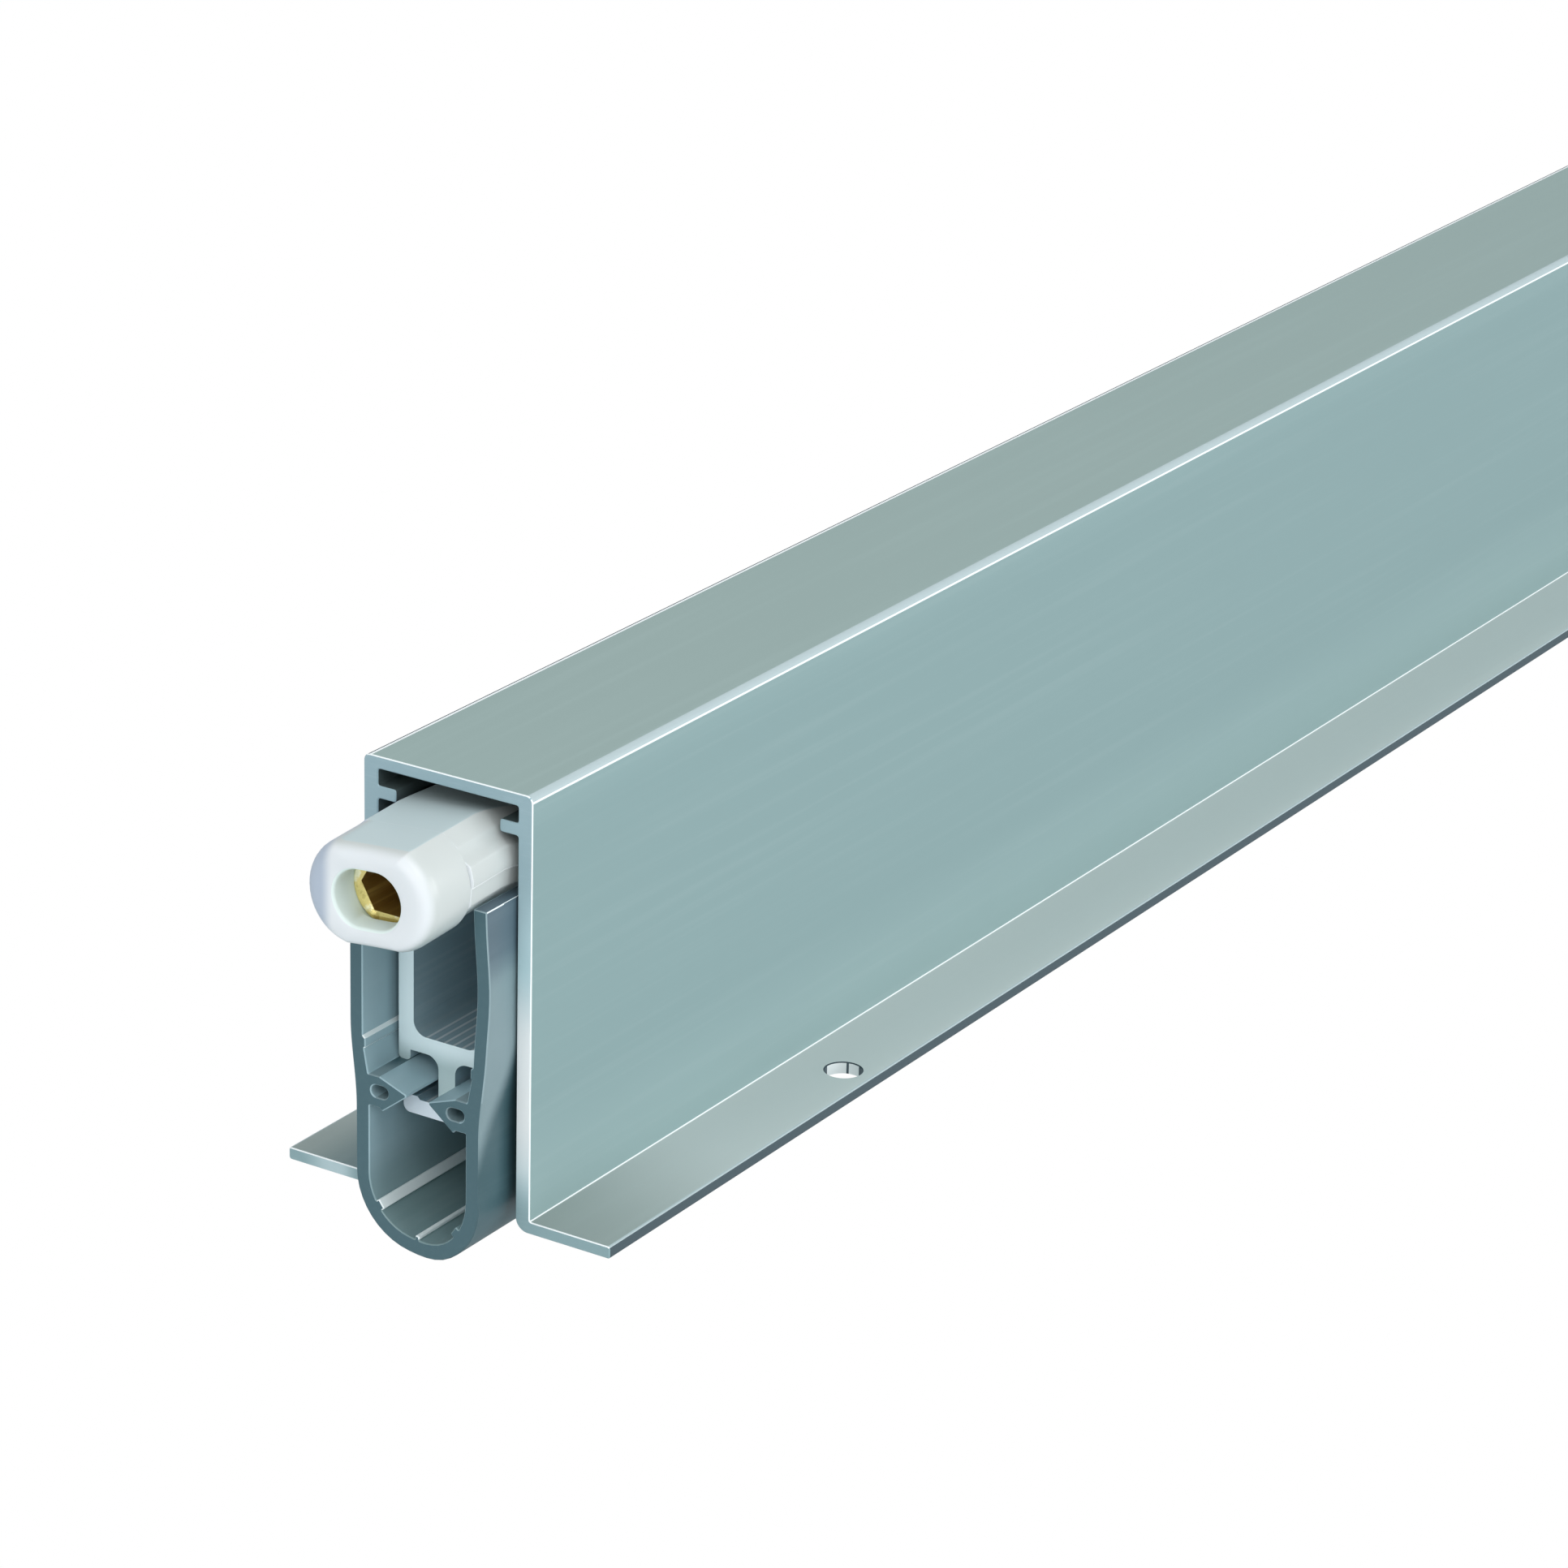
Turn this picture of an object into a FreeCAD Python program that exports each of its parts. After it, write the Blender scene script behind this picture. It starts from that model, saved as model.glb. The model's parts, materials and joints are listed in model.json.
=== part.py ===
import FreeCAD, Part
import math
import os
import Sketcher

# Automatic door bottom seal, flange mounted, 13 x 30 mm section.
# Frame: +X along the seal away from the trigger, +Z up towards the door, Z = 0 on the top
# of the flanges, X = 0 half way along the housing, Y = 0 in the middle of its width.
# Built as stored and shipped: trigger out, seal drawn up.

Vector = FreeCAD.Vector
doc = FreeCAD.newDocument("DoorBottomSeal")
sheet = doc.addObject("Spreadsheet::Sheet", "Sizes")

# Driving dimensions, in millimetres, turns counted as numbers
SIZES = [
    # Housing, one aluminium extrusion
    ("housing_length", 335.0),
    ("housing_width", 13.0),
    ("housing_height", 29.15),
    ("housing_wall", 1.1),
    ("roof_thickness", 0.85),
    ("roof_edge_radius", 0.5),
    ("flange_span", 25.4),
    ("flange_thickness", 0.85),
    ("foot_radius", 0.9),
    ("rib_depth", 1.4),
    ("rib_thickness", 0.85),
    ("rib_drop", 1.15),
    ("flange_bore", 2.6),
    ("flange_hole_reach", 10.4),
    ("flange_hole_inset", 31.5),
    ("flange_hole_rows", 3),
    # Silicone seal, one extrusion
    ("seal_side_gap", 0.12),
    ("seal_leg_wall", 1.0),
    ("leg_above_web", 11.45),
    ("seal_overhang", 3.2),
    ("bulb_radius", 4.82),
    ("bulb_wall", 1.05),
    ("bulb_below_web", 8.8),
    ("waist_below_web", 4.3),
    ("shoulder_above_web", 1.65),
    ("waist_curve_radius", 19.4),
    ("ledge_above_web", 0.65),
    ("ledge_depth", 0.2),
    ("ledge_width", 0.8),
    ("lip_tip_gap", 0.25),
    ("lip_tip_below_web", 2.85),
    ("lip_tip_thickness", 0.2),
    ("lip_root_depth", 1.0),
    ("lip_hole_width", 1.35),
    ("lip_hole_height", 0.85),
    ("lip_hole_reach", 2.97),
    ("lip_hole_rise", 0.12),
    ("lip_heel", 0.2),
    ("ridge_height", 0.3),
    ("ridge_width", 0.7),
    ("keel_ridge_width", 0.3),
    # Carrier, one aluminium extrusion
    ("carrier_side_gap", 0.5),
    ("carrier_wall", 1.17),
    ("web_below_ceiling", 17.55),
    ("web_thickness", 1.15),
    ("web_fillet", 1.0),
    ("nib_width", 0.92),
    ("nib_depth", 0.76),
    ("nib_radius", 0.3),
    ("stem_width", 1.3),
    ("arch_radius", 0.9),
    ("nib_to_foot", 2.39),
    ("foot_span", 6.8),
    ("foot_thickness", 1.05),
    ("foot_tip_rise", 0.2),
    ("foot_land", 0.6),
    ("foot_round", 0.5),
    # Drop mechanism
    ("drop", 11.0),
    ("lower_arm", 15.5),
    ("pivot_clearance", 0.35),
    ("hub_radius", 1.8),
    ("crank_thickness", 2.0),
    ("upper_arm_width", 1.5),
    ("nose_radius", 1.2),
    ("notch_clearance", 0.2),
    ("notch_play", 0.15),
    ("notch_wall", 1.6),
    ("notch_overlap", 0.6),
    ("pivot_diameter", 2.0),
    ("arm_pin_diameter", 2.0),
    ("arm_pin_inset", 0.17),
    ("slot_play", 0.15),
    ("slot_edge", 0.4),
    ("front_pivot_inset", 70.0),
    ("rear_pivot_inset", 70.0),
    ("running_clearance", 0.05),
    ("sliding_clearance", 0.15),
    # Anchor blocks
    ("block_length", 16.0),
    ("block_cheek_length", 3.6),
    ("block_cheek_gap", 0.35),
    ("block_head_gap", 0.15),
    ("block_side_gap", 0.15),
    ("block_shoulder_gap", 0.4),
    ("block_waist_gap", 0.2),
    ("block_waist_above_web", 9.85),
    ("screw_diameter", 2.5),
    ("screw_length", 5.0),
    ("screw_socket", 1.3),
    ("screw_socket_depth", 1.5),
    ("screw_offset", 5.2),
    ("screw_reach", 2.6),
    # Actuating bar with its spring
    ("bar_height", 3.2),
    ("bar_thickness", 2.0),
    ("bar_tail", 13.0),
    ("spring_diameter", 5.4),
    ("spring_wire", 0.5),
    ("spring_length", 20.0),
    ("spring_turns", 4.0),
    ("seat_thickness", 0.6),
    ("seat_play", 0.1),
    ("stop_pin_diameter", 1.2),
    ("stop_pin_length", 5.0),
    # Coupler between the bar and the adjuster
    ("coupler_length", 11.0),
    ("coupler_slot_depth", 5.5),
    ("coupler_wall_gap", 0.1),
    ("coupler_gap", 0.1),
    ("rivet_diameter", 1.5),
    ("rivet_setback", 2.6),
    ("keeper_diameter", 1.0),
    # Adjuster, a brass socket screw
    ("adjuster_diameter", 5.3),
    ("adjuster_length", 8.0),
    ("adjuster_recess", 2.4),
    ("adjuster_chamfer", 0.25),
    ("socket_width", 3.5),
    ("socket_depth", 4.5),
    ("tail_diameter", 4.4),
    ("tail_length", 3.0),
    ("tail_neck_diameter", 2.8),
    ("tail_neck_width", 1.1),
    # Release trigger, moulded plastic
    ("trigger_protrusion", 8.2),
    ("trigger_gap", 0.25),
    ("head_height", 6.7),
    ("head_flat", 5.2),
    ("head_foot_flat", 4.4),
    ("head_side_radius", 3.6),
    ("head_front_bevel", 0.7),
    ("head_length", 4.2),
    ("guide_length", 18.0),
    ("guide_side_gap", 0.3),
    ("guide_step_above_web", 13.15),
    ("guide_waist_gap", 0.2),
    ("guide_waist_above_web", 11.55),
    ("guide_keel_flat", 3.8),
    ("groove_gap", 0.25),
    ("groove_radius", 0.9),
    ("mouth_width", 5.2),
    ("mouth_height", 3.75),
    ("mouth_depth", 1.7),
    ("mouth_drop", 0.05),
]


class Size:
    """A length held both as a number and as the sheet formula that gives it."""

    def __init__(self, value, formula):
        self.value = float(value)
        self.formula = formula

    def __add__(self, other):
        other = as_size(other)
        return Size(self.value + other.value, f"({self.formula} + {other.formula})")

    def __radd__(self, other):
        return as_size(other) + self

    def __sub__(self, other):
        other = as_size(other)
        return Size(self.value - other.value, f"({self.formula} - {other.formula})")

    def __rsub__(self, other):
        return as_size(other) - self

    def __mul__(self, other):
        other = as_size(other)
        return Size(self.value * other.value, f"({self.formula} * {other.formula})")

    def __rmul__(self, other):
        return as_size(other) * self

    def __truediv__(self, other):
        other = as_size(other)
        return Size(self.value / other.value, f"({self.formula} / {other.formula})")

    def __neg__(self):
        return Size(-self.value, f"(0 - {self.formula})")

    def root(self):
        return Size(math.sqrt(self.value), f"sqrt({self.formula})")

    def arcsine_degrees(self):
        return Size(math.degrees(math.asin(self.value)), f"asin({self.formula})")


def as_size(number):
    if isinstance(number, Size):
        return number
    return Size(number, repr(number))


class Sizes:
    """The driving dimensions by name."""


s = Sizes()
for row, (alias, number) in enumerate(SIZES, start=1):
    sheet.set(f"A{row}", alias)
    sheet.set(f"B{row}", str(number))
    sheet.setAlias(f"B{row}", alias)
    setattr(s, alias, Size(number, f"Sizes.{alias}"))
doc.recompute()

ZERO = as_size(0)
RIGHT = (1, 0)
LEFT = (-1, 0)
UP = (0, 1)
DOWN = (0, -1)
LEFT_TURN = 1
RIGHT_TURN = -1
BEVEL_TAPER = -45.0
# Cuts that go right through run this many times a thickness or a half width
THROUGH = 4
# The ridges inside the bulb stand on its lowest line and this far round to either side
RIDGE_TURN = math.radians(54)

# Places worked out from the driving dimensions
end_x = s.housing_length / 2
housing_half = s.housing_width / 2
cavity_half = housing_half - s.housing_wall
ceiling = s.housing_height - s.roof_thickness
rib_top = ceiling - s.rib_drop
rib_bottom = rib_top - s.rib_thickness
rib_tip = cavity_half - s.rib_depth

# The carrier's web is the level from which the seal and the mechanism are set out
web_top = ceiling - s.web_below_ceiling
seal_leg_top = web_top + s.leg_above_web
shoulder_height = web_top + s.shoulder_above_web
ledge_top = web_top + s.ledge_above_web
waist_height = web_top - s.waist_below_web
lip_tip_height = web_top - s.lip_tip_below_web
bulb_centre = web_top - s.bulb_below_web
block_waist_bottom = web_top + s.block_waist_above_web
guide_step = web_top + s.guide_step_above_web
guide_waist_bottom = web_top + s.guide_waist_above_web

seal_outer = cavity_half - s.seal_side_gap
seal_inner = seal_outer - s.seal_leg_wall
bulb_inner = s.bulb_radius - s.bulb_wall

carrier_outer = seal_inner - s.carrier_side_gap
carrier_inner = carrier_outer - s.carrier_wall
web_bottom = web_top - s.web_thickness
nib_bottom = web_bottom - s.nib_depth
foot_top = nib_bottom - s.nib_to_foot
stem_half = s.stem_width / 2
foot_half = s.foot_span / 2

# The crank swings as far above the level of its pivot as below it
half_drop = s.drop / 2
swing_sine = half_drop / s.lower_arm
swing_cosine = (1 - swing_sine * swing_sine).root()
swing_degrees = swing_sine.arcsine_degrees()
pivot_z = web_top + s.pivot_clearance + s.hub_radius
arm_pin_z = pivot_z + half_drop
arm_pin_reach = s.lower_arm * swing_cosine
slot_half = s.arm_pin_diameter / 2 + s.slot_play
carrier_wall_top = arm_pin_z + slot_half + s.slot_edge
head_half_height = s.head_height / 2
axis_z = carrier_wall_top + s.trigger_gap + head_half_height
bar_bottom = axis_z - s.bar_height / 2
upper_arm = bar_bottom - s.notch_clearance - s.nose_radius - pivot_z
half_stroke = upper_arm * swing_sine

front_pivot_x = -end_x + s.front_pivot_inset
rear_pivot_x = end_x - s.rear_pivot_inset
trigger_x = -end_x - s.trigger_protrusion
adjuster_x = trigger_x + s.adjuster_recess
coupler_x = adjuster_x + s.adjuster_length + s.coupler_gap
coupler_end_x = coupler_x + s.coupler_length
bar_start_x = coupler_end_x - s.coupler_slot_depth
bar_end_x = rear_pivot_x + s.bar_tail
spring_end_x = front_pivot_x - s.block_length / 2 - s.seat_thickness
spring_start_x = spring_end_x - s.spring_length
front_seat_x = spring_start_x - s.seat_thickness
stop_pin_x = front_seat_x - s.stop_pin_diameter / 2

trigger_bore = s.adjuster_diameter / 2 + s.running_clearance
coupler_radius = trigger_bore - s.coupler_wall_gap
# The keeper pin passes beside the adjuster's neck, half way along its tail
keeper_setback = s.tail_length / 2 - s.coupler_gap
keeper_reach = s.tail_neck_diameter / 2 + s.running_clearance + s.keeper_diameter / 2

nodes = []


def keep(thing, label):
    """Name a finished sub-part; the label becomes its file name."""
    thing.Label = label
    nodes.append(thing)
    return thing


def bind(thing, name, size):
    """Tie a property to its formula in the sheet."""
    thing.setExpression(name, size.formula)


def place(thing, x=ZERO, y=ZERO, z=ZERO, axis=(0, 0, 1), degrees=ZERO):
    """Put a sub-part at a place worked out from the sheet, turned about an axis."""
    position = Vector(x.value, y.value, z.value)
    turn = FreeCAD.Rotation(Vector(*axis), degrees.value)
    thing.Placement = FreeCAD.Placement(position, turn)
    bind(thing, "Placement.Base.x", x)
    bind(thing, "Placement.Base.y", y)
    bind(thing, "Placement.Base.z", z)
    if degrees.value:
        bind(thing, "Placement.Rotation.Angle", degrees)


def new_body(name):
    return doc.addObject("PartDesign::Body", name)


def plane(body, role):
    return next(item for item in body.Origin.OriginFeatures if item.Role == role)


def sketch_on(body, name, role, offset=None):
    """A sketch on one of the body's own planes, moved along its normal by an offset."""
    sketch = body.newObject("Sketcher::SketchObject", name)
    sketch.AttachmentSupport = [(plane(body, role), "")]
    sketch.MapMode = "FlatFace"
    if offset is not None:
        sketch.AttachmentOffset = FreeCAD.Placement(Vector(0, 0, offset.value), FreeCAD.Rotation())
        bind(sketch, "AttachmentOffset.Base.z", offset)
    return sketch


def pin_point(sketch, geometry, point, x, y):
    """Hold one point of a sketch at its two coordinates."""
    for kind, size in (("DistanceX", x), ("DistanceY", y)):
        size = as_size(size)
        constraint = Sketcher.Constraint(kind, -1, 1, geometry, point, size.value)
        index = sketch.addConstraint(constraint)
        sketch.setExpression(f"Constraints[{index}]", size.formula)


def bind_radius(sketch, geometry, radius):
    index = sketch.addConstraint(Sketcher.Constraint("Radius", geometry, radius.value))
    sketch.setExpression(f"Constraints[{index}]", radius.formula)


def arc_between(start, end, radius, turn):
    """The shorter arc from start to end, turning left or right as it goes."""
    middle = (start + end) * 0.5
    chord = end - start
    across = Vector(-chord.y, chord.x, 0).normalize()
    rise = math.sqrt(max(radius * radius - chord.Length * chord.Length / 4, 0.0))
    centre = middle + across * rise * turn
    first, last = (start, end) if turn == LEFT_TURN else (end, start)
    begin_angle = math.atan2(first.y - centre.y, first.x - centre.x)
    end_angle = math.atan2(last.y - centre.y, last.x - centre.x)
    if end_angle < begin_angle:
        end_angle += 2 * math.pi
    circle = Part.Circle(centre, Vector(0, 0, 1), radius)
    return Part.ArcOfCircle(circle, begin_angle, end_angle)


def draw_loop(sketch, corners):
    """Draw a closed loop; a corner is (x, y), or (x, y, radius, turn) before an arc."""
    first = sketch.GeometryCount
    count = len(corners)
    points = [Vector(as_size(c[0]).value, as_size(c[1]).value, 0) for c in corners]
    begins = []
    for index, corner in enumerate(corners):
        start = points[index]
        end = points[(index + 1) % count]
        if len(corner) == 4:
            radius, turn = corner[2], corner[3]
            sketch.addGeometry(arc_between(start, end, radius.value, turn), False)
            begins.append(1 if turn == LEFT_TURN else 2)
        else:
            sketch.addGeometry(Part.LineSegment(start, end), False)
            begins.append(1)
    for index in range(count):
        following = (index + 1) % count
        finish = 3 - begins[index]
        joint = ("Coincident", first + index, finish, first + following, begins[following])
        sketch.addConstraint(Sketcher.Constraint(*joint))
    for index, corner in enumerate(corners):
        pin_point(sketch, first + index, begins[index], corner[0], corner[1])
        if len(corner) == 4:
            bind_radius(sketch, first + index, corner[2])


def draw_circle(sketch, x, y, radius):
    x, y = as_size(x), as_size(y)
    circle = Part.Circle(Vector(x.value, y.value, 0), Vector(0, 0, 1), radius.value)
    geometry = sketch.addGeometry(circle, False)
    pin_point(sketch, geometry, 3, x, y)
    bind_radius(sketch, geometry, radius)


def rounded(x, y, radius, arriving, leaving):
    """The two corners that round off one right-angled corner."""
    turn = arriving[0] * leaving[1] - arriving[1] * leaving[0]
    before = (x - radius * arriving[0], y - radius * arriving[1], radius, turn)
    after = (x + radius * leaving[0], y + radius * leaving[1])
    return [before, after]


def symmetric(half):
    """The whole loop from its half at x >= 0, mirrored about the upright axis."""
    sides = [corner[2:] for corner in half]
    loop = list(half)
    last = len(half) - 1
    if as_size(half[last][0]).value == 0:
        loop[last] = half[last][:2] + sides[last - 1]
        last -= 1
    first = 1 if as_size(half[0][0]).value == 0 else 0
    for index in range(last, first - 1, -1):
        x, y = half[index][:2]
        side = sides[index - 1] if index > 0 else ()
        loop.append((-x, y) + side)
    return loop


def box_loop(left, bottom, right, top):
    return [(left, bottom), (right, bottom), (right, top), (left, top)]


def hexagon(x, y, point):
    """Six corners round a middle, two of them level with it."""
    rise = point * as_size(3).root() / 2
    return [
        (x + point, y),
        (x + point / 2, y + rise),
        (x - point / 2, y + rise),
        (x - point, y),
        (x - point / 2, y - rise),
        (x + point / 2, y - rise),
    ]


def slot_loop(x, y, half_length, radius):
    """A slot with round ends, each end as two quarter arcs."""
    return [
        (x - half_length, y - radius),
        (x + half_length, y - radius, radius, LEFT_TURN),
        (x + half_length + radius, y, radius, LEFT_TURN),
        (x + half_length, y + radius),
        (x - half_length, y + radius, radius, LEFT_TURN),
        (x - half_length - radius, y, radius, LEFT_TURN),
    ]


def pad(body, sketch, length, both_ways=False):
    feature = body.newObject("PartDesign::Pad", sketch.Name + "_pad")
    feature.Profile = sketch
    feature.SideType = "Symmetric" if both_ways else "One side"
    bind(feature, "Length", length)
    return feature


def cut(body, sketch, length, both_ways=False, forwards=True):
    """Cut a sketch out of the body and see that the cut took material away."""
    doc.recompute()
    before = body.Shape.Volume
    feature = body.newObject("PartDesign::Pocket", sketch.Name + "_cut")
    feature.Profile = sketch
    feature.SideType = "Symmetric" if both_ways else "One side"
    feature.Reversed = forwards
    bind(feature, "Length", length)
    doc.recompute()
    if not body.Shape.Volume < before:
        raise RuntimeError(f"{feature.Name} cuts nothing")
    return feature


def revolve(body, sketch, axis_role):
    feature = body.newObject("PartDesign::Revolution", sketch.Name + "_turned")
    feature.Profile = sketch
    feature.ReferenceAxis = (plane(body, axis_role), [""])
    feature.Angle = 360
    return feature


def cylinder(name, radius, height):
    """A plain round pin along Z, before it is placed."""
    pin = doc.addObject("Part::Cylinder", name)
    bind(pin, "Radius", radius)
    bind(pin, "Height", height)
    return pin


def pin_along_y(name, radius, length, x, z, y=ZERO):
    """A round pin lying across the seal, its middle at x, y, z."""
    pin = cylinder(name, radius, length)
    quarter_turn = as_size(90)
    place(pin, x, y + length / 2, z, (1, 0, 0), quarter_turn)
    return pin


def make_housing():
    """Hat section with guide ribs inside and screw holes along both flanges."""
    body = new_body("housing")
    section = sketch_on(body, "housing_section", "YZ_Plane")
    flange_half = s.flange_span / 2
    underside = -s.flange_thickness
    draw_loop(section, symmetric(
        rounded(housing_half, s.housing_height, s.roof_edge_radius, RIGHT, DOWN)
        + [(housing_half, ZERO)]
        + [(flange_half, ZERO), (flange_half, underside)]
        + rounded(cavity_half, underside, s.foot_radius, LEFT, UP)
        + [(cavity_half, rib_bottom)]
        + [(rib_tip, rib_bottom), (rib_tip, rib_top)]
        + [(cavity_half, rib_top), (cavity_half, ceiling)]
    ))
    pad(body, section, s.housing_length, both_ways=True)
    holes = sketch_on(body, "flange_holes", "XY_Plane")
    first_hole_x = -end_x + s.flange_hole_inset
    for reach in (s.flange_hole_reach, -s.flange_hole_reach):
        draw_circle(holes, first_hole_x, reach, s.flange_bore / 2)
    drilled = cut(body, holes, THROUGH * s.flange_thickness, both_ways=True)
    row = body.newObject("PartDesign::LinearPattern", "flange_hole_row")
    row.Originals = [drilled]
    row.Direction = (holes, ["H_Axis"])
    bind(row, "Length", s.housing_length - 2 * s.flange_hole_inset)
    bind(row, "Occurrences", s.flange_hole_rows)
    body.Tip = row
    keep(body, "housing")


def make_seal():
    """Soft U with a round bulb below and two barbed lips that grip the carrier's stem."""
    body = new_body("silicone_seal")
    section = sketch_on(body, "seal_section", "YZ_Plane")
    bulb = s.bulb_radius
    lip_root = stem_half + s.lip_tip_gap
    lip_under = foot_top
    lip_outer = bulb_inner - s.lip_root_depth
    curve_y = (bulb + seal_outer) / 2
    curve_z = (waist_height + shoulder_height) / 2
    ledge_inner = seal_inner - s.ledge_depth
    ledge_bottom = ledge_top - s.ledge_width
    draw_loop(section, symmetric([
        (ZERO, bulb_centre - bulb, bulb, LEFT_TURN),
        (bulb, bulb_centre),
        (bulb, waist_height, s.waist_curve_radius, RIGHT_TURN),
        (curve_y, curve_z, s.waist_curve_radius, LEFT_TURN),
        (seal_outer, shoulder_height),
        (seal_outer, seal_leg_top),
        (seal_inner, seal_leg_top),
        (seal_inner, ledge_top),
        (ledge_inner, ledge_top - s.ledge_depth),
        (ledge_inner, ledge_bottom),
        (ledge_inner + s.ledge_depth / 2, ledge_bottom - s.ledge_depth / 2),
        (bulb_inner + s.ledge_depth / 2, nib_bottom),
        (lip_outer + s.lip_heel, nib_bottom),
        (lip_root, lip_tip_height + s.lip_tip_thickness),
        (lip_root, lip_tip_height),
        (lip_outer, lip_under),
        (lip_outer + s.lip_heel, lip_under + s.lip_heel),
        (bulb_inner, lip_under + s.lip_heel),
        (bulb_inner, bulb_centre, bulb_inner, RIGHT_TURN),
        (ZERO, bulb_centre - bulb_inner),
    ]))
    hole_middle = (nib_bottom + lip_under) / 2 + s.lip_hole_rise
    hole_radius = s.lip_hole_height / 2
    hole_half = s.lip_hole_width / 2 - hole_radius
    for reach in (s.lip_hole_reach, -s.lip_hole_reach):
        draw_loop(section, slot_loop(reach, hole_middle, hole_half, hole_radius))
    length = s.housing_length + 2 * s.seal_overhang
    pad(body, section, length, both_ways=True)
    ridges = sketch_on(body, "bulb_ridges", "YZ_Plane")
    half = s.ridge_width / 2
    for turn, half_width in ((-RIDGE_TURN, half), (0, s.keel_ridge_width / 2), (RIDGE_TURN, half)):
        draw_loop(ridges, ridge_loop(turn, half_width))
    pad(body, ridges, length, both_ways=True)
    keep(body, "silicone_seal")


def ridge_loop(turn, half_width):
    """A bar across the bulb's wall, turned about its middle line from the lowest place."""
    across, down = math.cos(turn), math.sin(turn)
    inner = bulb_inner - s.ridge_height
    outer = bulb_inner + s.bulb_wall / 2
    corners = ((-half_width, outer), (half_width, outer), (half_width, inner), (-half_width, inner))
    return [
        (side * across + depth * down, bulb_centre + side * down - depth * across)
        for side, depth in corners
    ]


def make_carrier():
    """U channel on a stem with a T foot, slotted where the crank pins ride."""
    body = new_body("seal_carrier")
    section = sketch_on(body, "carrier_section", "YZ_Plane")
    fillet = s.web_fillet
    nib_inner = carrier_outer - s.nib_width
    foot_low = foot_top - s.foot_tip_rise
    foot_bottom = foot_low - s.foot_thickness
    land_outer = foot_half - s.foot_round
    land_inner = land_outer - s.foot_land
    draw_loop(section, symmetric(
        rounded(carrier_inner, web_top, fillet, RIGHT, UP)
        + [(carrier_inner, carrier_wall_top), (carrier_outer, carrier_wall_top)]
        + rounded(carrier_outer, nib_bottom, s.nib_radius, DOWN, LEFT)
        + rounded(nib_inner, nib_bottom, s.nib_radius, LEFT, UP)
        + [(nib_inner, web_bottom)]
        + rounded(stem_half, web_bottom, s.arch_radius, LEFT, DOWN)
        + rounded(stem_half, foot_low, s.foot_round, DOWN, RIGHT)
        + [(land_inner - s.foot_tip_rise, foot_low), (land_inner, foot_top)]
        + rounded(foot_half, foot_top, s.foot_round, RIGHT, DOWN)
        + rounded(foot_half, foot_bottom, s.foot_round, DOWN, LEFT)
    ))
    pad(body, section, s.housing_length, both_ways=True)
    slots = sketch_on(body, "pin_slots", "XZ_Plane")
    travel = s.lower_arm - arm_pin_reach
    for pivot_x in (front_pivot_x, rear_pivot_x):
        middle = pivot_x + arm_pin_reach + travel / 2
        draw_loop(slots, slot_loop(middle, arm_pin_z, travel / 2, slot_half))
    cut(body, slots, THROUGH * carrier_outer, both_ways=True)
    keep(body, "seal_carrier")


def make_block(name, pivot_x):
    """Block hung on the housing ribs; its two cheeks carry the crank's pivot."""
    body = new_body(name)
    section = sketch_on(body, name + "_section", "YZ_Plane")
    head_half = cavity_half - s.block_side_gap
    neck_half = rib_tip - s.block_side_gap
    waist_half = seal_inner - s.block_waist_gap
    shoulder_top = rib_bottom - s.block_side_gap - pivot_z
    shoulder_bottom = seal_leg_top + s.block_shoulder_gap - pivot_z
    draw_loop(section, symmetric([
        (head_half, ceiling - s.block_head_gap - pivot_z),
        (head_half, rib_top - pivot_z),
        (neck_half, rib_top - pivot_z),
        (neck_half, shoulder_top),
        (head_half, shoulder_top),
        (head_half, shoulder_bottom),
        (waist_half, shoulder_bottom),
        (waist_half, block_waist_bottom - pivot_z),
    ]))
    pad(body, section, s.block_length, both_ways=True)
    cheeks = sketch_on(body, name + "_cheeks", "XZ_Plane")
    cheek = s.block_cheek_length / 2
    cheek_top = block_waist_bottom - pivot_z
    draw_loop(cheeks, [
        (-cheek, cheek_top),
        (-cheek, ZERO, cheek, LEFT_TURN),
        (ZERO, -cheek, cheek, LEFT_TURN),
        (cheek, ZERO),
        (cheek, cheek_top),
    ])
    cheek_half = carrier_inner - s.block_cheek_gap
    pad(body, cheeks, 2 * cheek_half, both_ways=True)
    slit = sketch_on(body, name + "_slit", "YZ_Plane")
    slit_half = s.crank_thickness / 2 + s.sliding_clearance
    slit_top = axis_z + s.bar_height / 2 + s.block_side_gap - pivot_z
    draw_loop(slit, box_loop(-slit_half, -2 * cheek, slit_half, slit_top))
    cut(body, slit, THROUGH * s.block_length, both_ways=True)
    bore = sketch_on(body, name + "_pivot_bore", "XZ_Plane")
    draw_circle(bore, ZERO, ZERO, s.pivot_diameter / 2)
    cut(body, bore, THROUGH * cheek_half, both_ways=True)
    tap = sketch_on(body, name + "_screw_hole", "XY_Plane")
    draw_circle(tap, s.screw_offset, s.screw_reach, s.screw_diameter / 2)
    cut(body, tap, THROUGH * (ceiling - pivot_z), both_ways=True)
    place(body, pivot_x, ZERO, pivot_z)
    keep(body, name)


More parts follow.
